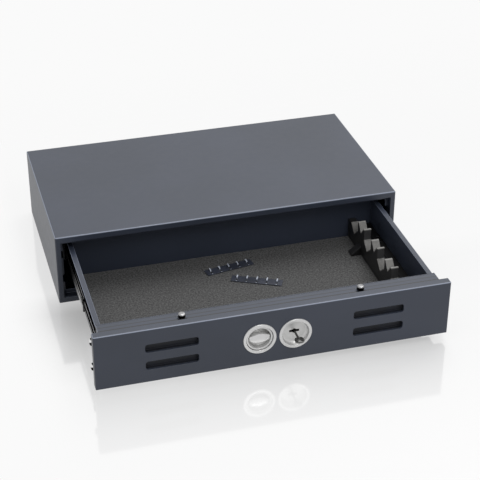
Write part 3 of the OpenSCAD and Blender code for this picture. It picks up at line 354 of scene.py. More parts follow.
# painted reflection: the side bolts' lower halves, and what faces straight up, get the dark tone
shows_room = upper_half * (1 - side_steel.ramp(side_steel.part("Z", "Normal"), 0.75, 0.9))
side_steel.cover(1 - shows_room, SIDE_SHADE).wear(metallic=shows_room)
print("side bolts split at", [round(value, 4) for value in (lower, upper)])

# %% [markdown]
# Satin nickel is bright at the front. Deeper in the bowl and the dish its tone falls with the depth
# behind the front's face, as painted shade in the hollows.

# %% Satin nickel
DEPTH_SHADE = (196, 196, 195)
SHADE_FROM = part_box("front_panel")[0].y - 1.0 * MM
SHADE_TO = SHADE_FROM + 10.0 * MM
BLAST_DEPTH = 0.004 * MM

nickel = Finish("satin nickel", metallic=0.65)
blast = nickel.noise(900.0)
nickel.tint(nickel.noise(24.0, 3.0), 0.35, 0.65, (202, 202, 202), (212, 212, 212))
nickel.wear(roughness=0.32 + blast * 0.1, normal=nickel.bump(blast, BLAST_DEPTH))
# painted shade: the nickel gets darker with depth in the bowl and the dish
nickel.cover(nickel.ramp(nickel.part("Y"), SHADE_FROM, SHADE_TO), DEPTH_SHADE)
print("painted shade in nickel over", round((SHADE_TO - SHADE_FROM) / MM, 1), "mm")

# %% [markdown]
# ## Plastic, lining and felt
#
# The clips of the rails, the slot trays and the rack are black, and the slot trays are darker still and
# bluish, as painted shade in their recesses. The rack's notches are lined with ribbed grey rubber. Felt
# has no gloss at all: pressed fibres of several greys lie every way, so its tone changes from speck to
# speck and its surface is rough at the scale of a fibre bundle.

# %% Black parts and lining
def moulded(name, dark, light, rough, grain_depth=0.01, **fixed):
    skin = Finish(name, metallic=0.0)
    grain = skin.noise(1400.0)
    cloud = skin.noise(40.0, 3.0)
    skin.tint(cloud + grain * 0.3, 0.5, 0.8, dark, light)
    return skin.wear(roughness=rough - 0.05 + cloud * 0.1, normal=skin.bump(grain, grain_depth * MM), **fixed)


black_plastic = moulded("black plastic", (18, 18, 19), (26, 26, 27), 0.45)
rack_paint = moulded("black rack paint", (7, 7, 8), (13, 13, 14), 0.6, 0.02, specular_ior_level=0.15)
# grey for the lit front faces of the teeth: painted light
tooth_face_light = moulded("tooth face painted lit", (50, 50, 51), (62, 62, 63), 0.6, 0.02)
lining = moulded("grey ribbed lining", (114, 113, 111), (132, 131, 129), 0.75, 0.03)
# darker and bluer than black plastic: painted shade in the slots' recesses
slot_shade_paint = moulded("slot tray darkened as shade", (7, 11, 20), (13, 18, 30), 0.6)
# the hooks share the plate's paint; their pale tone is a painted highlight
hook_highlight_paint = moulded("hook paint painted lit", (150, 156, 168), (172, 178, 190), 0.45)
hook_paint = moulded("dark hook paint", (36, 40, 50), (46, 50, 62), 0.4)
# near black channel of the rails: painted shade where they lie in deep shade
rail_shade = moulded("black rail shade", (6, 6, 6), (12, 12, 12), 0.8, 0.02, specular_ior_level=0.0)
print("lining nodes:", len(lining.tree.nodes))

# %% Felt
FIBRE_DEPTH = 0.35 * MM
felt = Finish("grey felt", metallic=0.0, roughness=1.0, specular_ior_level=0.1, sheen_weight=0.1,
    sheen_roughness=0.5)
tuft = felt.noise(300.0, 5.0)
strand = felt.noise(1500.0, 2.0, (1.0, 0.35, 1.0))
felt.tint(tuft * 0.65 + strand * 0.35, 0.38, 0.62, (52, 52, 52), (97, 97, 97))
felt.wear(normal=felt.bump(tuft + strand * 0.6, FIBRE_DEPTH))
print("felt nodes:", len(felt.tree.nodes))

# %% [markdown]
# ## A finish for every node
#
# The record gives each node a material slot. Every node gets the finish of its slot here, also those
# hidden inside, so that nothing is bare when the drawer moves or the housing is opened.

# %% Dress the CAD nodes
SLOT_FINISH = {"anthracite_paint": paint, "zinc_steel": zinc, "satin_nickel": nickel,
    "bolt_steel": bolt_steel, "brass": brass, "black_plastic": black_plastic, "grey_lining": lining,
    "black_paint": rack_paint, "grey_felt": felt}


def dress(thing, finish):
    thing.data.materials.clear()
    thing.data.materials.append(finish.material)


slot_of = {thing.name: thing.data.materials[0].name.split(".")[0] for thing in nodes.values()}
for name, thing in nodes.items():
    dress(thing, SLOT_FINISH[slot_of[name]])
print("dressed:", len(slot_of))

# %% [markdown]
# ## Sheet steel has soft edges
#
# A solid ends every sheet in a knife edge. Real sheet is folded over a radius, its cut edges are
# dulled by the paint, and each edge catches a thin line of light that tells the eye it is metal. So
# the node's own mesh is copied, its flat facets are joined, and a bevel rounds just the sharp edges,
# each by the radius that its place calls for. A weighted normal keeps the large faces flat.

# %% Put a mesh in the place of CAD nodes
SHARP = radians(28)
VERY_SHARP = radians(40)
FLAT = radians(0.5)
WELD = 0.002 * MM
NEAR = 0.01 * MM


def build(name, shape, finish, node, smooth=SHARP):
    """Makes an object of a bmesh, smooth up to an angle, and puts it in a node's place."""
    bmesh.ops.recalc_face_normals(shape, faces=shape.faces)
    mesh = bpy.data.meshes.new(name)
    shape.to_mesh(mesh)
    shape.free()
    mesh.shade_smooth()
    mesh.set_sharp_from_angle(angle=smooth)
    thing = add(name, mesh)
    dress(thing, finish)
    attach(thing, body_of(nodes[node])[0])
    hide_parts(node)
    return thing


def welded(node):
    """A node's own mesh as a bmesh, whose faces share their corners."""
    shape = bmesh.new()
    shape.from_mesh(nodes[node].data)
    bmesh.ops.remove_doubles(shape, verts=shape.verts, dist=WELD)
    return shape


print("edges are sharp from", round(degrees(SHARP)), "degrees")


# %% Round the edges of a node
def softened(node, radius, finish=None, larger=None, segments=2):
    """A copy of a node with rounded edges, in mm. larger gives an edge's own radius, or None."""
    shape = welded(node)
    bmesh.ops.dissolve_limit(shape, angle_limit=FLAT, verts=shape.verts, edges=shape.edges)
    share = shape.edges.layers.float.new("bevel_weight_edge")
    radii = {}
    for edge in shape.edges:
        if len(edge.link_faces) == 2 and edge.calc_face_angle() > SHARP:
            radii[edge] = larger and larger(edge) or radius
    widest = max(radii.values())
    for edge, value in radii.items():
        edge[share] = value / widest
    thing = build(node + "_finished", shape, finish or SLOT_FINISH[slot_of[node]], node, pi)
    bevel = thing.modifiers.new("rounded edges", "BEVEL")
    bevel.limit_method = "WEIGHT"
    bevel.width = widest * MM
    bevel.segments = segments
    bevel.use_clamp_overlap = False
    thing.modifiers.new("flat faces", "WEIGHTED_NORMAL").weight = 100
    return thing


RIM_BAND = 6 * MM


def folded_rim(node, fold):
    """Gives the fold's radius to the rim of the node's front."""
    low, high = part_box(node)

    def chosen(edge):
        first, second = (vert.co for vert in edge.verts)
        spot = (first + second) / 2
        to_border = min(spot.x - low.x, high.x - spot.x, spot.z - low.z, high.z - spot.z)
        return fold if max(first.y, second.y) - low.y < NEAR and to_border < RIM_BAND else None
    return chosen


def top_fold(node, radius):
    """Gives the radius to the edges at the node's very top."""
    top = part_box(node)[1].z
    return lambda edge: radius if min(vert.co.z for vert in edge.verts) > top - NEAR else None


print("a fold's rim is", round(RIM_BAND / MM), "mm wide")

# %% [markdown]
# The paint also runs together in the corners of the front's slots, so they look rounder than the cut.

# %% Rounder slots
SLOT_CORNER = 3.5 * MM
PAINTED_CORNER = 5.2 * MM
SLOT_HALF = (49.0 * MM, 8.75 * MM)
SLOT_MIDDLES = [(x * MM, z * MM) for x in (-195.5, 195.5) for z in (52.8, 89.6)]


def rounder_slots(mesh):
    """Moves the points of the slots' corners out to a larger arc, and counts them."""
    moved = 0
    for vert in mesh.vertices:
        for x, z in SLOT_MIDDLES:
            past = [abs(vert.co.x - x) - SLOT_HALF[0], abs(vert.co.z - z) - SLOT_HALF[1]]
            if all(-SLOT_CORNER - NEAR < value < NEAR for value in past):
                reach = [half + PAINTED_CORNER * value / SLOT_CORNER for half, value in zip(SLOT_HALF, past)]
                vert.co.x = x + copysign(reach[0], vert.co.x - x)
                vert.co.z = z + copysign(reach[1], vert.co.z - z)
                moved += 1
                break
    return moved


# %% Casing, front and drawer
softened("casing_shell", 0.5, larger=folded_rim("casing_shell", 2.2), segments=4)
front = softened("front_panel", 0.4, larger=folded_rim("front_panel", 2.4), segments=4)
print("slot corners eased at", rounder_slots(front.data), "points")
softened("bolt_housing", 0.5, larger=top_fold("bolt_housing", 1.2), segments=3)
for radius, alike in ((0.5, ("back_panel", "housing_cover", "barrel_rack")), (0.3, ("carrier_plate",)),
        (0.4, ("keeper_left", "keeper_right", "keeper_top", "keeper_bottom", "lock_case"))):
    for node in alike:
        softened(node, radius)
softened("rack_shelf", 0.3, rack_paint)
softened("drawer_tray", 0.5, larger=top_fold("drawer_tray", 1.3), segments=3)
softened("slot_liners", 0.6, slot_shade_paint)
for side in SIDES:
    for node in ("slide_bracket_", "cabinet_rail_"):
        softened(node + side, 0.25, shaded_zinc)
    for node in ("outer_ball_cage_", "inner_ball_cage_"):
        dress(nodes[node + side], shaded_zinc)
print("softened pieces ready")

# %% [markdown]
# ## Turned parts
#
# Rosettes, cups, bolts and screw heads come off a lathe or a die, so each is one outline turned about
# an axis. The outline is a short list of corners, some with a fillet radius. That keeps the real
# sizes readable, and gives the small radii on which satin metal shows its bright rings.

# %% Round the corners of an outline
def rounded(outline, steps=4):
    """Replaces each corner (x, y, fillet) of a closed outline by an arc. A corner (x, y) stays sharp."""
    points = []
    for index, (x, y, *fillet) in enumerate(outline):
        corner = Vector((x, y))
        if not any(fillet):
            points.append(corner)
            continue
        before = (Vector(outline[index - 1][:2]) - corner).normalized()
        after = (Vector(outline[(index + 1) % len(outline)][:2]) - corner).normalized()
        half_angle = before.angle(after) / 2
        start = corner + before * (fillet[0] / tan(half_angle))
        centre = corner + (before + after).normalized() * (fillet[0] / sin(half_angle))
        spoke = start - centre
        sweep = pi - 2 * half_angle
        if before.cross(after) > 0:
            sweep = -sweep
        for step in range(steps + 1):
            points.append(centre + Matrix.Rotation(sweep * step / steps, 2) @ spoke)
    return points


print("outline helper ready")


# %% Turn an outline about an axis
def circle(radius, steps, at=(0, 0)):
    spokes = [tau * step / steps for step in range(steps)]
    return [(at[0] + radius * cos(angle), at[1] + radius * sin(angle)) for angle in spokes]


def joined(shape, rings):
    """Faces between neighbouring rings of points, where equal points fall together."""
    for lower, upper in rings:
        for side in range(len(lower)):
            after = (side + 1) % len(lower)
            corners = list(dict.fromkeys((lower[side], lower[after], upper[after], upper[side])))
            if len(corners) > 2:
                shape.faces.new(corners)


def turned_to(along):
    return Vector(along).to_track_quat("Z", "Y").to_matrix().to_4x4()


def lathe(shape, outline, place, along, sides=72, steps=4):
    """Adds a turned form to a bmesh. The outline is (radius, distance along the axis, fillet) in mm."""
    axis = Matrix.Translation(place) @ turned_to(along)
    rings = []
    for point in rounded(outline, steps):
        if abs(point.x) < 0.0001:
            rings.append([shape.verts.new(axis @ Vector((0, 0, point.y * MM)))] * sides)
        else:
            rings.append([shape.verts.new(axis @ (Vector((x, y, point.y)) * MM))
                for x, y in circle(point.x, sides)])
    joined(shape, zip(rings, rings[1:] + rings[:1]))


INWARD = (0.0, 1.0, 0.0)
front_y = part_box("front_panel")[0].y


def on_front(node):
    """The point of the front's face on a node's axis, from where depths are counted."""
    low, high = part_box(node)
    return Vector(((low.x + high.x) / 2, front_y, (low.z + high.z) / 2))


def back_of(node):
    """The depth of a node's back behind the front's face, in mm."""
    return (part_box(node)[1].y - front_y) / MM


print("front face at", round(front_y, 4), "m")

# %% [markdown]
# ## The turn handle
#
# The handle is a cup that turns in a fixed ring. Its finger bar bulges in the middle and lies almost
# flush, and its blunt ends slope down into the bowl, where they catch two bright glints. The bowl's wall
# meets its floor in a generous curve, so it shades softly above and below the bar.

# %% Handle ring and cup
RING_OUTER = 31.25
RING_BORE = 25.6
RING_PROUD = 2.0
SLEEVE = RING_BORE + 1.6
CUP_OUTER = 24.8
CUP_INNER = 21.7
CUP_RIM = 0.6
BOWL_SLOPE = 3.5

ring_back = back_of("handle_rosette")
shape = bmesh.new()
lathe(shape, [(RING_BORE, -RING_PROUD, 0.7), (RING_OUTER, -RING_PROUD, 1.1), (RING_OUTER, 0), (SLEEVE, 0),
    (SLEEVE, ring_back), (RING_BORE, ring_back)], on_front("handle_rosette"), INWARD, 96)
build("handle_ring", shape, nickel, "handle_rosette")

cup_spot = on_front("handle_cup")
cup_back = back_of("handle_cup")
BOWL_FLOOR = cup_back - 2.0
shape = bmesh.new()
lathe(shape, [(0, BOWL_FLOOR), (CUP_INNER - BOWL_SLOPE, BOWL_FLOOR, 8.0), (CUP_INNER, CUP_RIM, 0.5),
    (CUP_OUTER, CUP_RIM, 0.8), (CUP_OUTER, cup_back, 0.3), (0, cup_back)], cup_spot, INWARD, 96, 10)
print("cup depth:", round(BOWL_FLOOR - CUP_RIM, 1), "mm")


# %% Finger bar
def lens(length, height, end, steps=20):
    """A bar with bulging long sides. end is its height at the ends."""
    upper = []
    for step in range(steps + 1):
        share = 1 - 2 * step / steps
        upper.append((length / 2 * share, end / 2 + (height - end) / 2 * (1 - share * share)))
    return upper + [(-x, -y) for x, y in upper]


def closed(shape, rings):
    """Joins rings of points one after the other, and closes both ends."""
    joined(shape, zip(rings, rings[1:]))
    shape.faces.new(rings[0])
    shape.faces.new(rings[-1])


BAR_LENGTH = 40.4
BAR_HEIGHT = 18.6
BAR_END = 8.0
BAR_FACE = 0.7
BAR_LAYERS = ((5.0, 2.4, BAR_FACE), (2.4, 0.8, BAR_FACE + 0.4), (1.0, 0.0, BAR_FACE + 1.4),
    (1.5, 1.0, BAR_FACE + 5.0), (6.0, 3.0, BOWL_FLOOR + 0.5))       # shorter by, lower by, depth

bar_rings = []
for shorter, lower, depth in BAR_LAYERS:
    outline = lens(BAR_LENGTH - shorter, BAR_HEIGHT - lower, BAR_END - lower)
    bar_rings.append([shape.verts.new(cup_spot + Vector((x, depth, z)) * MM) for x, z in outline])
closed(shape, bar_rings)
build("turn_handle", shape, nickel, "handle_cup", VERY_SHARP)
print("finger bar:", BAR_LENGTH, "by", BAR_HEIGHT, "mm")

# %% [markdown]
# ## The lock's dish
#
# The lock sits in a matching ring, whose dish has a rounded wall and a flat floor with the keyhole:
# a slot for two bits across a round hole for the shaft. The floor is a flat outline with a hole, so
# it is drawn as a filled curve and turned into a mesh.

# %% Flat plates with holes
def add_plate(shape, outlines, thickness, place, edge):
    """Adds a plate from closed outlines in mm. The first is the rim, and the rest are holes."""
    drawing = bpy.data.curves.new("plate", "CURVE")
    drawing.dimensions = "2D"
    drawing.fill_mode = "BOTH"
    drawing.extrude = thickness * MM / 2 - edge * MM
    drawing.bevel_depth = edge * MM
    drawing.bevel_resolution = 1
    drawing.offset = -edge * MM
    for outline in outlines:
        line = drawing.splines.new("POLY")
        line.points.add(len(outline) - 1)
        for point, spot in zip(line.points, outline):
            point.co = (spot[0] * MM, spot[1] * MM, 0, 1)
        line.use_cyclic_u = True
    holder = bpy.data.objects.new("plate", drawing)
    mesh = bpy.data.meshes.new_from_object(holder)
    bpy.data.objects.remove(holder)
    mesh.transform(place)
    shape.from_mesh(mesh)


def rectangle(low_x, low_y, high_x, high_y, corner=0.0):
    corners = ((low_x, low_y), (high_x, low_y), (high_x, high_y), (low_x, high_y))
    return rounded([(x, y, corner) for x, y in corners])


KEYHOLE_LENGTH = 19.0
KEYHOLE_HEIGHT = 5.0
KEYHOLE_ROUND = 4.5


def keyhole(steps=10):
    half_length, half_height = KEYHOLE_LENGTH / 2, KEYHOLE_HEIGHT / 2
    start = asin(half_height / KEYHOLE_ROUND)
    arc = [start + (pi - 2 * start) * step / steps for step in range(steps + 1)]
    bulge = [(KEYHOLE_ROUND * cos(angle), KEYHOLE_ROUND * sin(angle)) for angle in arc]
    top = [(half_length, half_height)] + bulge + [(-half_length, half_height)]
    return top + [(-x, -y) for x, y in top]


print("keyhole points:", len(keyhole()))

# %% Lock dish
FACING_FRONT = turn_by(90, "X")
DISH_DEPTH = 8.0
DISH_FLOOR = RING_BORE - 7.0
lock_spot = on_front("lock_rosette")
dish_back = back_of("lock_rosette")
shape = bmesh.new()
lathe(shape, [(RING_OUTER, 0), (RING_OUTER, -RING_PROUD, 1.1), (RING_BORE, -RING_PROUD, 0.9),
    (RING_BORE, DISH_DEPTH, 6.0), (DISH_FLOOR, DISH_DEPTH), (DISH_FLOOR, dish_back),
    (SLEEVE, dish_back), (SLEEVE, 0)], lock_spot, INWARD, 96, 7)
floor_spot = lock_spot + Vector((0, (DISH_DEPTH + dish_back) / 2 * MM, 0))
add_plate(shape, [circle(DISH_FLOOR + 0.1, 96), keyhole()], dish_back - DISH_DEPTH,
    Matrix.Translation(floor_spot) @ FACING_FRONT, 0.3)
build("lock_dish", shape, nickel, "lock_rosette")
print("dish depth:", DISH_DEPTH, "mm")

# %% [markdown]
# ## Locking bolts
#
# Eight bolts are turned from bright round steel, with well rounded ends that find their way behind
# the casing's lip. Each also has a stud that ties it to its bar, and its place is read from the node:
# whatever reaches furthest to the front belongs to the stud.

# %% The separate solids of a node
def box_of(spots):
    return Vector(map(min, *spots)), Vector(map(max, *spots))


def solids_of(node):
    """The corners of each separate solid in a node."""
    shape = welded(node)
    waiting = set(shape.verts)
    solids = []
    while waiting:
        found = [waiting.pop()]
        for vert in found:
            near = {edge.other_vert(vert) for edge in vert.link_edges} & waiting
            waiting -= near
            found.extend(near)
        solids.append([vert.co.copy() for vert in found])
    shape.free()
    return sorted(solids, key=lambda spots: tuple(box_of(spots)[0]))


print("side bolts:", len(solids_of("side_bolts_left")), "on each side")

# %% Bolts with their studs
BOLT_ROUND = 3.0


def turned_bolts(node, along):
    along = Vector(along)
    shape = bmesh.new()
    for spots in solids_of(node):
        low, high = box_of(spots)
        across = 2 if along.x else 0
        radius = (high[across] - low[across]) / 2
        spot = (low + high) / 2
        spot.y = high.y - radius
        length = abs((high - low).dot(along))
        foot = spot - along * length / 2
        lathe(shape, [(0, 0), (radius / MM, 0, 0.6), (radius / MM, length / MM, BOLT_ROUND),
            (0, length / MM)], foot, along, 64, 8)
        stud_low, stud_high = box_of([point for point in spots if point.y < low.y + NEAR])
        stud = (stud_high.x - stud_low.x) / 2 / MM
        reach = (spot.y - low.y) / MM
        lathe(shape, [(0, 0), (stud, 0, 0.3), (stud, reach), (0, reach)], (stud_low + stud_high) / 2,
            INWARD, 32)
    build(node + "_turned", shape, side_steel if along.x else bolt_steel, node)


for side, outward in zip(SIDES, (-1, 1)):
    turned_bolts("upper_bolt_" + side, (0, 0, 1))
    turned_bolts("lower_bolt_" + side, (0, 0, -1))
    turned_bolts("side_bolts_" + side, (outward, 0, 0))
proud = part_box("upper_bolt_left")[1].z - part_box("bolt_housing")[1].z
print("upright bolt stands", round(proud / MM, 1), "mm proud")

# %% [markdown]
# ## The key
#
# A double-bit key: a thin round shaft, a flat blade with stepped bits inside the drum, and a bow of
# worn, darkened nickel that lies flat. The bow is a rounded square with a shallow notch where the
# shaft joins, so its outline is a superellipse whose radius dips there.

# %% The key's bow
BOW_HALF = 8.75
BOW_SQUARENESS = 2.5
BOW_NOTCH = 0.26
BOW_NOTCH_WIDTH = 0.36
BOW_HOLE = 3.7
BOW_HOLE_WALL = 1.7


def bow_outline(steps=72):
    points = []
    for step in range(steps):
        angle = tau * step / steps
        squared = abs(cos(angle)) ** BOW_SQUARENESS + abs(sin(angle)) ** BOW_SQUARENESS
        off_shaft = abs((angle - pi / 2 + pi) % tau - pi)
        dip = 1 - BOW_NOTCH * exp(-(off_shaft / BOW_NOTCH_WIDTH) ** 2)
        reach = BOW_HALF * squared ** (-1 / BOW_SQUARENESS) * dip
        points.append((reach * cos(angle), reach * sin(angle)))
    return points


print("bow outline:", len(bow_outline()), "points")

# %% Shaft and blade
KEY_THICK = 3.0
SHAFT = 2.0
COLLAR = 2.5
COLLAR_LENGTH = 5.0
BLADE_HALF = 9.0
BLADE_LENGTH = 16.0
BIT_LENGTH = 3.2
BIT_DEPTHS = (1.5, 3.0, 0.0, 2.0, 1.0)
key_low, key_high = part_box("key")
bow_spot = on_front("key")
bow_spot.y = key_low.y + BOW_HALF * MM
blade_end = (key_high.y - bow_spot.y) / MM

shape = bmesh.new()
bow_place = Matrix.Translation(bow_spot)
hole = circle(BOW_HOLE, 32, (0, BOW_HOLE + BOW_HOLE_WALL - BOW_HALF))
add_plate(shape, [bow_outline(), hole], KEY_THICK, bow_place, 0.7)
shaft_start = BOW_HALF * (1 - BOW_NOTCH) - 3.0
collar_end = shaft_start + COLLAR_LENGTH
lathe(shape, [(0, shaft_start), (COLLAR, shaft_start, 0.4), (COLLAR, collar_end, 0.6),
    (SHAFT, collar_end + 1.0, 0.4), (SHAFT, blade_end, 0.6), (0, blade_end)], bow_spot, INWARD, 32)
blade = [(depth - BLADE_HALF, blade_end - BLADE_LENGTH + BIT_LENGTH * (index + shift))
    for index, depth in enumerate(BIT_DEPTHS) for shift in (0, 1)]
blade += [(-x, y) for x, y in reversed(blade)]
add_plate(shape, [blade], KEY_THICK, bow_place, 0.2)
build("key_with_bow", shape, dark_nickel, "key")
print("key length:", round((key_high.y - key_low.y) / MM, 1), "mm")

# %% [markdown]
# ## Felt mat
#
# The mat is cut from a sheet of needled felt and only laid in the tray. It lies nearly flat, with
# long shallow waves and soft edges that the knife pressed down. A dense grid carries the waves and
# the lumps of fibre; the fibres themselves stay in the material.

# %% The mat's upper face
WAVE_HEIGHT, WAVES = 0.35, 9
LUMP_HEIGHT, LUMPS = 0.14, 240
EDGE_WIDTH = 3.0
EDGE_DROP = 1.4
mat_low, mat_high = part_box("felt_mat")
mat_width, mat_length = mat_high.x - mat_low.x, mat_high.y - mat_low.y


def mat_height(x, y):
    """The height of the mat's upper face at a place, all in metres."""
    wave = noise.noise(Vector((x * WAVES, y * WAVES, 3.0))) + 1
    lump = noise.noise(Vector((x * LUMPS, y * LUMPS, 7.0))) + 1
    to_edge = min(x - mat_low.x, mat_high.x - x, y - mat_low.y, mat_high.y - y) / MM
    pressed = max(0.0, 1 - to_edge / EDGE_WIDTH) ** 2
    return mat_high.z - (WAVE_HEIGHT * wave + LUMP_HEIGHT * lump + EDGE_DROP * pressed) * MM


print("mat:", round(mat_width, 4), "by", round(mat_length, 4), "m")

# %% Felt mat
MAT_CELL = 2.6
columns = round(mat_width / MM / MAT_CELL)
lines = round(mat_length / MM / MAT_CELL)
xs = [mat_low.x + mat_width * column / columns for column in range(columns + 1)]
shape = bmesh.new()
grid = []
for line in range(lines + 1):
    y = mat_low.y + mat_length * line / lines
    grid.append([shape.verts.new((x, y, mat_height(x, y))) for x in xs])
for before, after in zip(grid, grid[1:]):
    for column in range(columns):
        shape.faces.new((before[column], before[column + 1], after[column + 1], after[column]))
border = [edge for edge in shape.edges if len(edge.link_faces) == 1]
skirt = bmesh.ops.extrude_edge_only(shape, edges=border)["geom"]
for vert in (item for item in skirt if isinstance(item, bmesh.types.BMVert)):
    vert.co.z = mat_low.z
bmesh.ops.holes_fill(shape, edges=[edge for edge in shape.edges if len(edge.link_faces) == 1])
mat = build("felt_sheet", shape, felt, "felt_mat", pi)
print("mat points:", len(mat.data.vertices))

# %% [markdown]
# ## The rack's ribbed lining
#
# Each notch of the rack is lined with a strip of ribbed rubber, so that a barrel doesn't slip or
# scratch. A strip follows the notch: down and up again, and over a high tooth. The path is given by
# its corners and walked in small steps. Its ribs are a wave on top, real ridges that catch the light.

# %% Walk along a path
def walked(path, step):
    """Points at even steps along an open path, each with the path's length up to it."""
    places = [(path[0], 0.0)]
    done = 0.0
    for start, end in zip(path, path[1:]):
        span = (end - start).length
        parts = max(1, round(span / step))
        for part in range(1, parts + 1):
            places.append((start.lerp(end, part / parts), done + span * part / parts))
        done += span
    return places


def offset_from(points, index, distance):
    """The point beside an open path, to its left."""
    ahead = points[min(index + 1, len(points) - 1)] - points[max(index - 1, 0)]
    side = Vector((-ahead.y, ahead.x)).normalized()
    return points[index] + side * distance


def swept(shape, lower, upper, corner_of, width):
    """A strip between two paths of equal count. corner_of turns (across, path point) into a place."""
    closed(shape, [[shape.verts.new(corner_of(across, point)) for across, point in
        ((0, low_point), (width, low_point), (width, high_point), (0, high_point))]
        for low_point, high_point in zip(lower, upper)])


print("path helpers ready")

# %% Ribbed lining
RIB_PITCH = 1.5
RIB_HEIGHT = 0.45
LINING = 1.55
NOTCH_DEPTH = 17.0
LOW_RUN = 19.5
TIP = 3.4
HIGH_RUN = 14.6
TOOTH_PITCH = 75.0
rack_low, rack_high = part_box("rack_lining")
rack_width = (rack_high.x - rack_low.x) / MM
low_tooth = rack_low.z / MM + NOTCH_DEPTH
high_tooth = rack_high.z / MM - 2.0
teeth = round(((rack_high.y - rack_low.y) / MM - 2 * LOW_RUN) / TOOTH_PITCH)


def in_rack(across, point):
    return Vector((rack_low.x + across * MM, rack_high.y - point.x * MM, point.y * MM))


def lined(shape, corners):
    """Lays a strip along corners (distance from the rack's rear end, height, fillet)."""
    places = walked(rounded(corners, 5), RIB_PITCH / 6)
    points = [point for point, length in places]
    ribs = [RIB_HEIGHT * (0.5 - 0.5 * cos(tau * length / RIB_PITCH)) for point, length in places]
    top = [offset_from(points, index, LINING + rib) for index, rib in enumerate(ribs)]
    swept(shape, points, top, in_rack, rack_width)


shape = bmesh.new()
for tooth in range(teeth + 1):
    start = tooth * TOOTH_PITCH
    lined(shape, [(start, low_tooth), (start + LOW_RUN, low_tooth - NOTCH_DEPTH, 1.2),
        (start + 2 * LOW_RUN, low_tooth)])
for tooth in range(teeth):
    start = tooth * TOOTH_PITCH + 2 * LOW_RUN
    valley = start + TIP + HIGH_RUN
    lined(shape, [(start, high_tooth), (start + TIP, high_tooth, 0.8),
        (valley, high_tooth - NOTCH_DEPTH, 1.2), (valley + HIGH_RUN, high_tooth, 0.8),
        (valley + HIGH_RUN + TIP, high_tooth)])
build("ribbed_lining", shape, lining, "rack_lining")
print("lined notches:", 2 * teeth + 1)

# %% [markdown]
# The high teeth show their faces to the viewer and catch light there, so thin grey plates on those faces are
# painted light over the black.

# %% Tooth faces
FACE_IN = 0.4
FACE_UP = 1.0
FACE_THICK = 0.4
face = rectangle(FACE_IN, 0, rack_width - FACE_IN, high_tooth - low_tooth - FACE_UP, 0.5)
shape = bmesh.new()
for tooth in range(1, teeth + 1):
    face_y = rack_high.y - (tooth * TOOTH_PITCH + 0.1) * MM
    place = Matrix.Translation((rack_low.x, face_y, (low_tooth + FACE_UP) * MM)) @ FACING_FRONT
    add_plate(shape, [face], FACE_THICK, place, 0.1)
build("tooth_faces", shape, tooth_face_light, "barrel_rack")
print("tooth faces:", teeth)

# %% [markdown]
# ## Hook strips
#
# Two loose strips of painted sheet each carry five hooks. A hook is a tongue cut from the plate and
# bent up, so an oblong hole is left at its foot. The plate is a flat outline with those holes, and
# each tongue is a strap that follows a path with bend radii.

# %% Plates and bent tongues
HOOKS = 5
HOOK_PITCH = 20.0
HOOK_WIDTH = 2.5
HOOK_HOLE = 5.0
HOLE_PLAY = 0.3
HOOK_HEIGHT = 4.1
HOOK_REACH = 8.2
RIVET_IN = 1.9
STRIP_SIZE = (102.0, 20.5, 1.5)
STRIPS = ((-8.0, -208.0, 10.3), (32.0, -270.3, -25.8))     # x, y and turn
felt_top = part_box("hook_strips")[0].z


def hook_strip(plates, tongues, x, y, turn):
    length, width, thick = STRIP_SIZE
    half, hook_half = thick / 2, HOOK_WIDTH / 2
    flat = Matrix.Translation((x * MM, y * MM, felt_top)) @ turn_by(turn, "Z")
    places = [(index - (HOOKS - 1) / 2) * HOOK_PITCH for index in range(HOOKS)]
    hole_half = hook_half + HOLE_PLAY
    holes = [rectangle(at - hole_half, -HOOK_HOLE, at + hole_half, 0, 0.4) for at in places]
    rim = rectangle(-length / 2, -width / 2, length / 2, width / 2, 0.7)
    add_plate(plates, [rim] + holes, thick, flat @ Matrix.Translation((0, 0, half * MM)), 0.25)
    path = rounded([(0.2, half), (half + 0.4, half, 0.85), (half + 0.4, HOOK_HEIGHT, 1.3),
        (HOOK_REACH, HOOK_HEIGHT + 0.6)])
    under, over = [[offset_from(path, index, half * side) for index in range(len(path))]
        for side in (-0.9, 0.9)]
    for at in places:
        def in_strip(across, point):
            return flat @ (Vector((at - hook_half + across, point.x, point.y)) * MM)
        swept(tongues, under, over, in_strip, HOOK_WIDTH)
        rivet = flat @ (Vector((at, RIVET_IN - width / 2, thick)) * MM)
        lathe(tongues, [(0, 0.3), (1.0, 0.3, 0.2), (1.0, -0.8), (0, -0.8)], rivet, (0, 0, 1), 24)


plates, tongues = bmesh.new(), bmesh.new()
for strip in STRIPS:
    hook_strip(plates, tongues, *strip)
build("hook_plates", plates, hook_paint, "hook_strips", VERY_SHARP)
# pale tone on the bent hooks: painted highlight
build("bent_hooks", tongues, hook_highlight_paint, "hook_strips", VERY_SHARP)
print("hooks:", HOOKS * len(STRIPS))

# %% [markdown]
# ## Slide rails
#
# The rails are rolled from thin zinc plated strip, and most of each lies in deep shade, so its channel
# is a near black sheet of painted shade. Zinc shows only in a thin skin on top: thin bright lines along
# the edges and a zigzag, which are painted highlights, and the lower half of each middle rail's web.
# Deep in the casing no light reaches it, and painted shade makes it go dark.

# %% Painted shade deep in the casing, and the zigzag
LIT_UNTIL = -0.3
DARK_FROM = -0.235
DEEP_TONE = (12, 12, 13)
PIERCE_HALF = 4.4
PIERCE_PITCH = 6.0
PIERCE_TIP = 0.5
PIERCE_EDGE = 1.0
# painted shade: rail zinc and edge highlights go dark deeper in the casing
for skin in (rail_zinc, edge_highlight):
    skin.cover(skin.ramp(skin.part("Y"), LIT_UNTIL, DARK_FROM), DEEP_TONE)


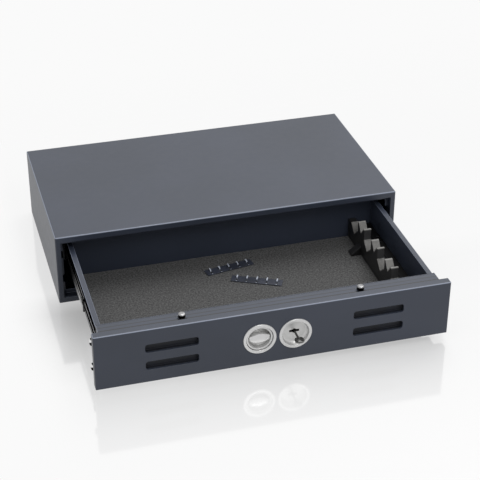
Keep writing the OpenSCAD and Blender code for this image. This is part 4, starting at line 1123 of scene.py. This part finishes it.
def zigzag(low, high, length):
    """A strip along a rail, from low to high across it, with long triangles cut out. All in mm."""
    holes = []
    for index in range(int(length / PIERCE_PITCH) - 4):
        y = (index + 2.5) * PIERCE_PITCH
        ends = (low + PIERCE_EDGE, high - PIERCE_EDGE)
        base, tip = ends if index % 2 else reversed(ends)
        holes.append([(base, y - PIERCE_HALF), (tip, y - PIERCE_TIP), (tip, y + PIERCE_TIP),
            (base, y + PIERCE_HALF)])
    return [rectangle(low, 0, high, length)] + holes


print("zigzag every", PIERCE_PITCH, "mm")

# %% Rails with painted edge highlights
RAIL_STEEL = 0.9
SKIN = 0.3
SHORT = 0.2
WEB_SHARE = 0.45
# these give the painted highlight lines on the rails
MIDDLE_LINE = (3.1, 4.3)         # bare lines, counted from the outer edge
DRAWER_LINE = (3.3, 4.3)
EDGE_LINE = (0, 1.3)
WEB_LINE = (2.9, 1.5)            # counted from the web
ON_EDGE = turn_by(-90, "Y")


def size_in_mm(low, high):
    return [value / MM for value in high - low]


def rail(node, web_outside):
    low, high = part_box(node)
    width, length, height = size_in_mm(low, high)
    mirror = 1 if low.x + high.x < 0 else -1
    outer = low.x if mirror > 0 else high.x

    def flat(start, end, z, thickness=SKIN, short=0.0):
        """A level strip. Its x is counted from the rail's outer edge and its z from the bottom."""
        outline = [(x * mirror, y) for x, y in rectangle(start, short, end, length - short)]
        return [outline], thickness, Matrix.Translation((outer, low.y, low.z + (z - thickness / 2) * MM))

    def upright(outlines, x=0.0, thickness=SKIN):
        """A plate from outlines (height, along), whose outer face is x from the rail's outer edge."""
        middle = outer + mirror * (x + thickness / 2) * MM
        return outlines, thickness, Matrix.Translation((middle, low.y, low.z)) @ ON_EDGE

    def piece(kind, plates, finish):
        shape = bmesh.new()
        for plate in plates:
            add_plate(shape, *plate, 0.1)
        build(node + kind, shape, finish, node)

    web = rectangle(SKIN, SHORT, height - SKIN, length - SHORT)
    web_at = SKIN if web_outside else width - RAIL_STEEL - SKIN
    flanges = [flat(SKIN, width - SKIN, z, RAIL_STEEL, SHORT) for z in (RAIL_STEEL + SKIN, height - SKIN)]
    # the black channel is painted shade; the edge lines and zigzag on it are painted highlights
    piece("_channel", [upright([web], web_at, RAIL_STEEL)] + flanges, rail_shade)
    if web_outside:
        highlight_plates = [flat(*MIDDLE_LINE, height), upright(zigzag(height * WEB_SHARE, height, length))]
        piece("_zinc_web", [upright([rectangle(0, 0, height * WEB_SHARE, length)])], rail_zinc)
    else:
        highlight_plates = [flat(*EDGE_LINE, height), flat(width - WEB_LINE[0], width - WEB_LINE[1], height),
            flat(*DRAWER_LINE, RAIL_STEEL + 2 * SKIN), upright([rectangle(0, 0, RAIL_STEEL + SKIN, length)])]
    piece("_edge_highlights", highlight_plates, edge_highlight)


for side in SIDES:
    rail("middle_rail_" + side, True)
    rail("drawer_rail_" + side, False)
print("rails:", 2 * len(SIDES))

# %% [markdown]
# Each middle rail ends in a thin black clip, with a cap that grips it above and below.

# %% Clips at the ends of the middle rails
CLIP = 1.5
CAP_LENGTH = 5.0
CAP_HEIGHT = 3.2
for side in SIDES:
    node = "rail_stop_" + side
    low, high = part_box(node)
    width, length, height = size_in_mm(low, high)
    shape = bmesh.new()
    for bottom, top, long in ((0, height, CLIP), (0, CAP_HEIGHT, CAP_LENGTH),
            (height - CAP_HEIGHT, height, CAP_LENGTH)):
        place = Matrix.Translation(low + Vector((0, long / 2 * MM, 0))) @ FACING_FRONT
        add_plate(shape, [rectangle(0, bottom, width, top, 0.4)], long, place, 0.2)
    build(node + "_clip", shape, black_plastic, node)
print("clips:", len(SIDES))

# %% [markdown]
# ## Screws
#
# The small machine screws have flat round heads. Each head is a plate with a cross-shaped hole over
# a solid disc, so the recess is really there.

# %% Screws with a cross recess
RECESS_ARM = 0.62
RECESS_WIDTH = 0.16
RECESS_DEPTH = 0.9


def cross(radius):
    long, short = RECESS_ARM * radius, RECESS_WIDTH * radius
    quarter = [(long, -short), (long, short), (short, short)]
    return [(x * c - y * s, x * s + y * c) for c, s in ((1, 0), (0, 1), (-1, 0), (0, -1)) for x, y in quarter]


def screws(node, along, finish=zinc, head=2.3):
    """Every screw of a node. along points from head to end, and head is the head's thickness in mm."""
    along = Vector(along)
    axis = [index for index in range(3) if along[index]][0]
    side = (axis + 1) % 3
    shape = bmesh.new()
    for spots in solids_of(node):
        low, high = box_of(spots)
        top = (low + high) / 2
        top[axis] = low[axis] if along[axis] > 0 else high[axis]
        length = (high[axis] - low[axis]) / MM
        wide = (high[side] - low[side]) / 2 / MM
        end = [point for point in spots if abs(point[axis] - top[axis]) > length * MM - NEAR]
        end_low, end_high = box_of(end)
        shank = (end_high[side] - end_low[side]) / 2 / MM
        place = Matrix.Translation(top + along * RECESS_DEPTH / 2 * MM) @ turned_to(along)
        add_plate(shape, [circle(wide, 40), cross(wide)], RECESS_DEPTH, place, 0.2)
        below = RECESS_DEPTH - 0.1
        lathe(shape, [(0, below), (wide, below), (wide, head), (shank, head), (shank, length, 0.4),
            (0, length)], top, along, 40)
    build(node + "_crossed", shape, finish, node)


screws("cover_screws", (0, -1, 0), paint)
screws("rack_screws", (0, 0, -1), shaded_zinc, 1.6)
screws("side_bolt_screws_left", INWARD)
screws("side_bolt_screws_right", INWARD)
screws("lock_case_screws", (0, -1, 0))
print("screws ready")

# %% [markdown]
# ## What the keyhole shows
#
# Behind the keyhole is the drum. Its keyway is in deep shade and greasy from use, so it gets a dark
# steel of its own. The guides of the bolts are painted with the housing.

# %% Drum and guides
drum_steel = metal("greased drum steel", (20, 20, 22), (36, 36, 38), 0.45)
dress(nodes["lock_drum"], drum_steel)
dress(nodes["bolt_guides"], paint)
print("drum:", drum_steel.material.name)

# %% [markdown]
# ## The white table and the light
#
# The safe stands on a glossy white table, one large plane, in even light. For the camera the table is
# white, a little greyer where the open drawer keeps light off it, and mirrors the safe faintly, less
# and less towards the viewer. To the object it is a duller bounce, because a pure white floor would
# lift every shadow. A wide soft sun stands above, so the lid and the rims are the brightest steel,
# and one soft lamp adds a little to what the table and the sky give the front. The sky looks white,
# and lights with only part of that strength.

# %% Table
TABLE_SIZE = 16.0
table_mesh = bpy.data.meshes.new("table")
half = TABLE_SIZE / 2
corners = [(-half, -half, 0), (half, -half, 0), (half, half, 0), (-half, half, 0)]
table_mesh.from_pydata(corners, [], [(0, 1, 2, 3)])
table = add("table", table_mesh)
print("table:", TABLE_SIZE, "m square")

# %% Its white, and the mirror image in it
MIRROR_SHARE = 0.16
MIRROR_BLUR = 0.08
MIRROR_FADE = (-0.84, -0.5)
NEAR_WHITE, OPEN_WHITE = 0.82, 0.18     # in front, and what the left and the rear get on top of it
DRAWER_SHADE, FRONT_SHADE = 0.42, 0.3
white = Finish("white table", base_color=colour(226, 226, 226), roughness=0.12)
x, y = white.part("X"), white.part("Y")
left = 1 - white.ramp(x, -0.45, -0.38)
far = white.ramp(y, 0.25, 0.9) * (1 - left)
under_drawer = white.band(y, -0.46, -0.27, -0.23, -0.15) * white.ramp(x, -0.47, -0.38)
right_front = white.ramp(x, -0.2, 0.35) * white.band(y, -0.9, -0.6, -0.47, -0.37)
glowing = (NEAR_WHITE + left * OPEN_WHITE + far * OPEN_WHITE
    - under_drawer * DRAWER_SHADE - right_front * FRONT_SHADE)
glow = white.node("ShaderNodeEmission", {"Color": colour(250, 250, 250)})
mirror = white.node("ShaderNodeBsdfGlossy", {"Color": colour(255, 255, 255), "Roughness": MIRROR_BLUR})
dull = white.node("ShaderNodeBsdfDiffuse", {"Color": colour(180, 180, 180)})
mirroring = white.ramp(y, *MIRROR_FADE) * MIRROR_SHARE
surface = Wire(white, white.shader.outputs[0])
for share, over in ((glowing, glow), (mirroring, mirror), (1 - white.shown(), dull)):
    surface = white.node("ShaderNodeMixShader", {0: share, 1: surface, 2: over})
white.put(white.tree.nodes["Material Output"].inputs["Surface"], surface)
dress(table, white)
print("table nodes:", len(white.tree.nodes))

# %% Sky
SKY_STRENGTH = 0.55
sky = Finish("studio", bpy.data.worlds, "Background", color=colour(250, 250, 250))
sky.wear(strength=sky.shown() * (1 - SKY_STRENGTH) + SKY_STRENGTH)
bpy.context.scene.world = sky.material
print("sky:", SKY_STRENGTH)

# %% Sun and lamp
SUN_WIDTH = radians(46.0)
SUN_STRENGTH = 1.75
LAMP_POWER = 18.0


def light(name, kind, energy, towards, **settings):
    data = bpy.data.lights.new(name, kind)
    data.energy = energy
    for setting, value in settings.items():
        setattr(data, setting, value)
    thing = add(name, data)
    thing.rotation_euler = Vector(towards).to_track_quat("Z", "Y").to_euler()
    return thing


light("overhead", "SUN", SUN_STRENGTH, (0.36, 0.4, 1.0), angle=SUN_WIDTH)
lamp = light("front lamp", "AREA", LAMP_POWER, (0.45, -1.4, 2.0), shape="SQUARE", size=1.0)
lamp.location = (0.45, -1.7, 2.1)
print("lamp:", LAMP_POWER, "W")
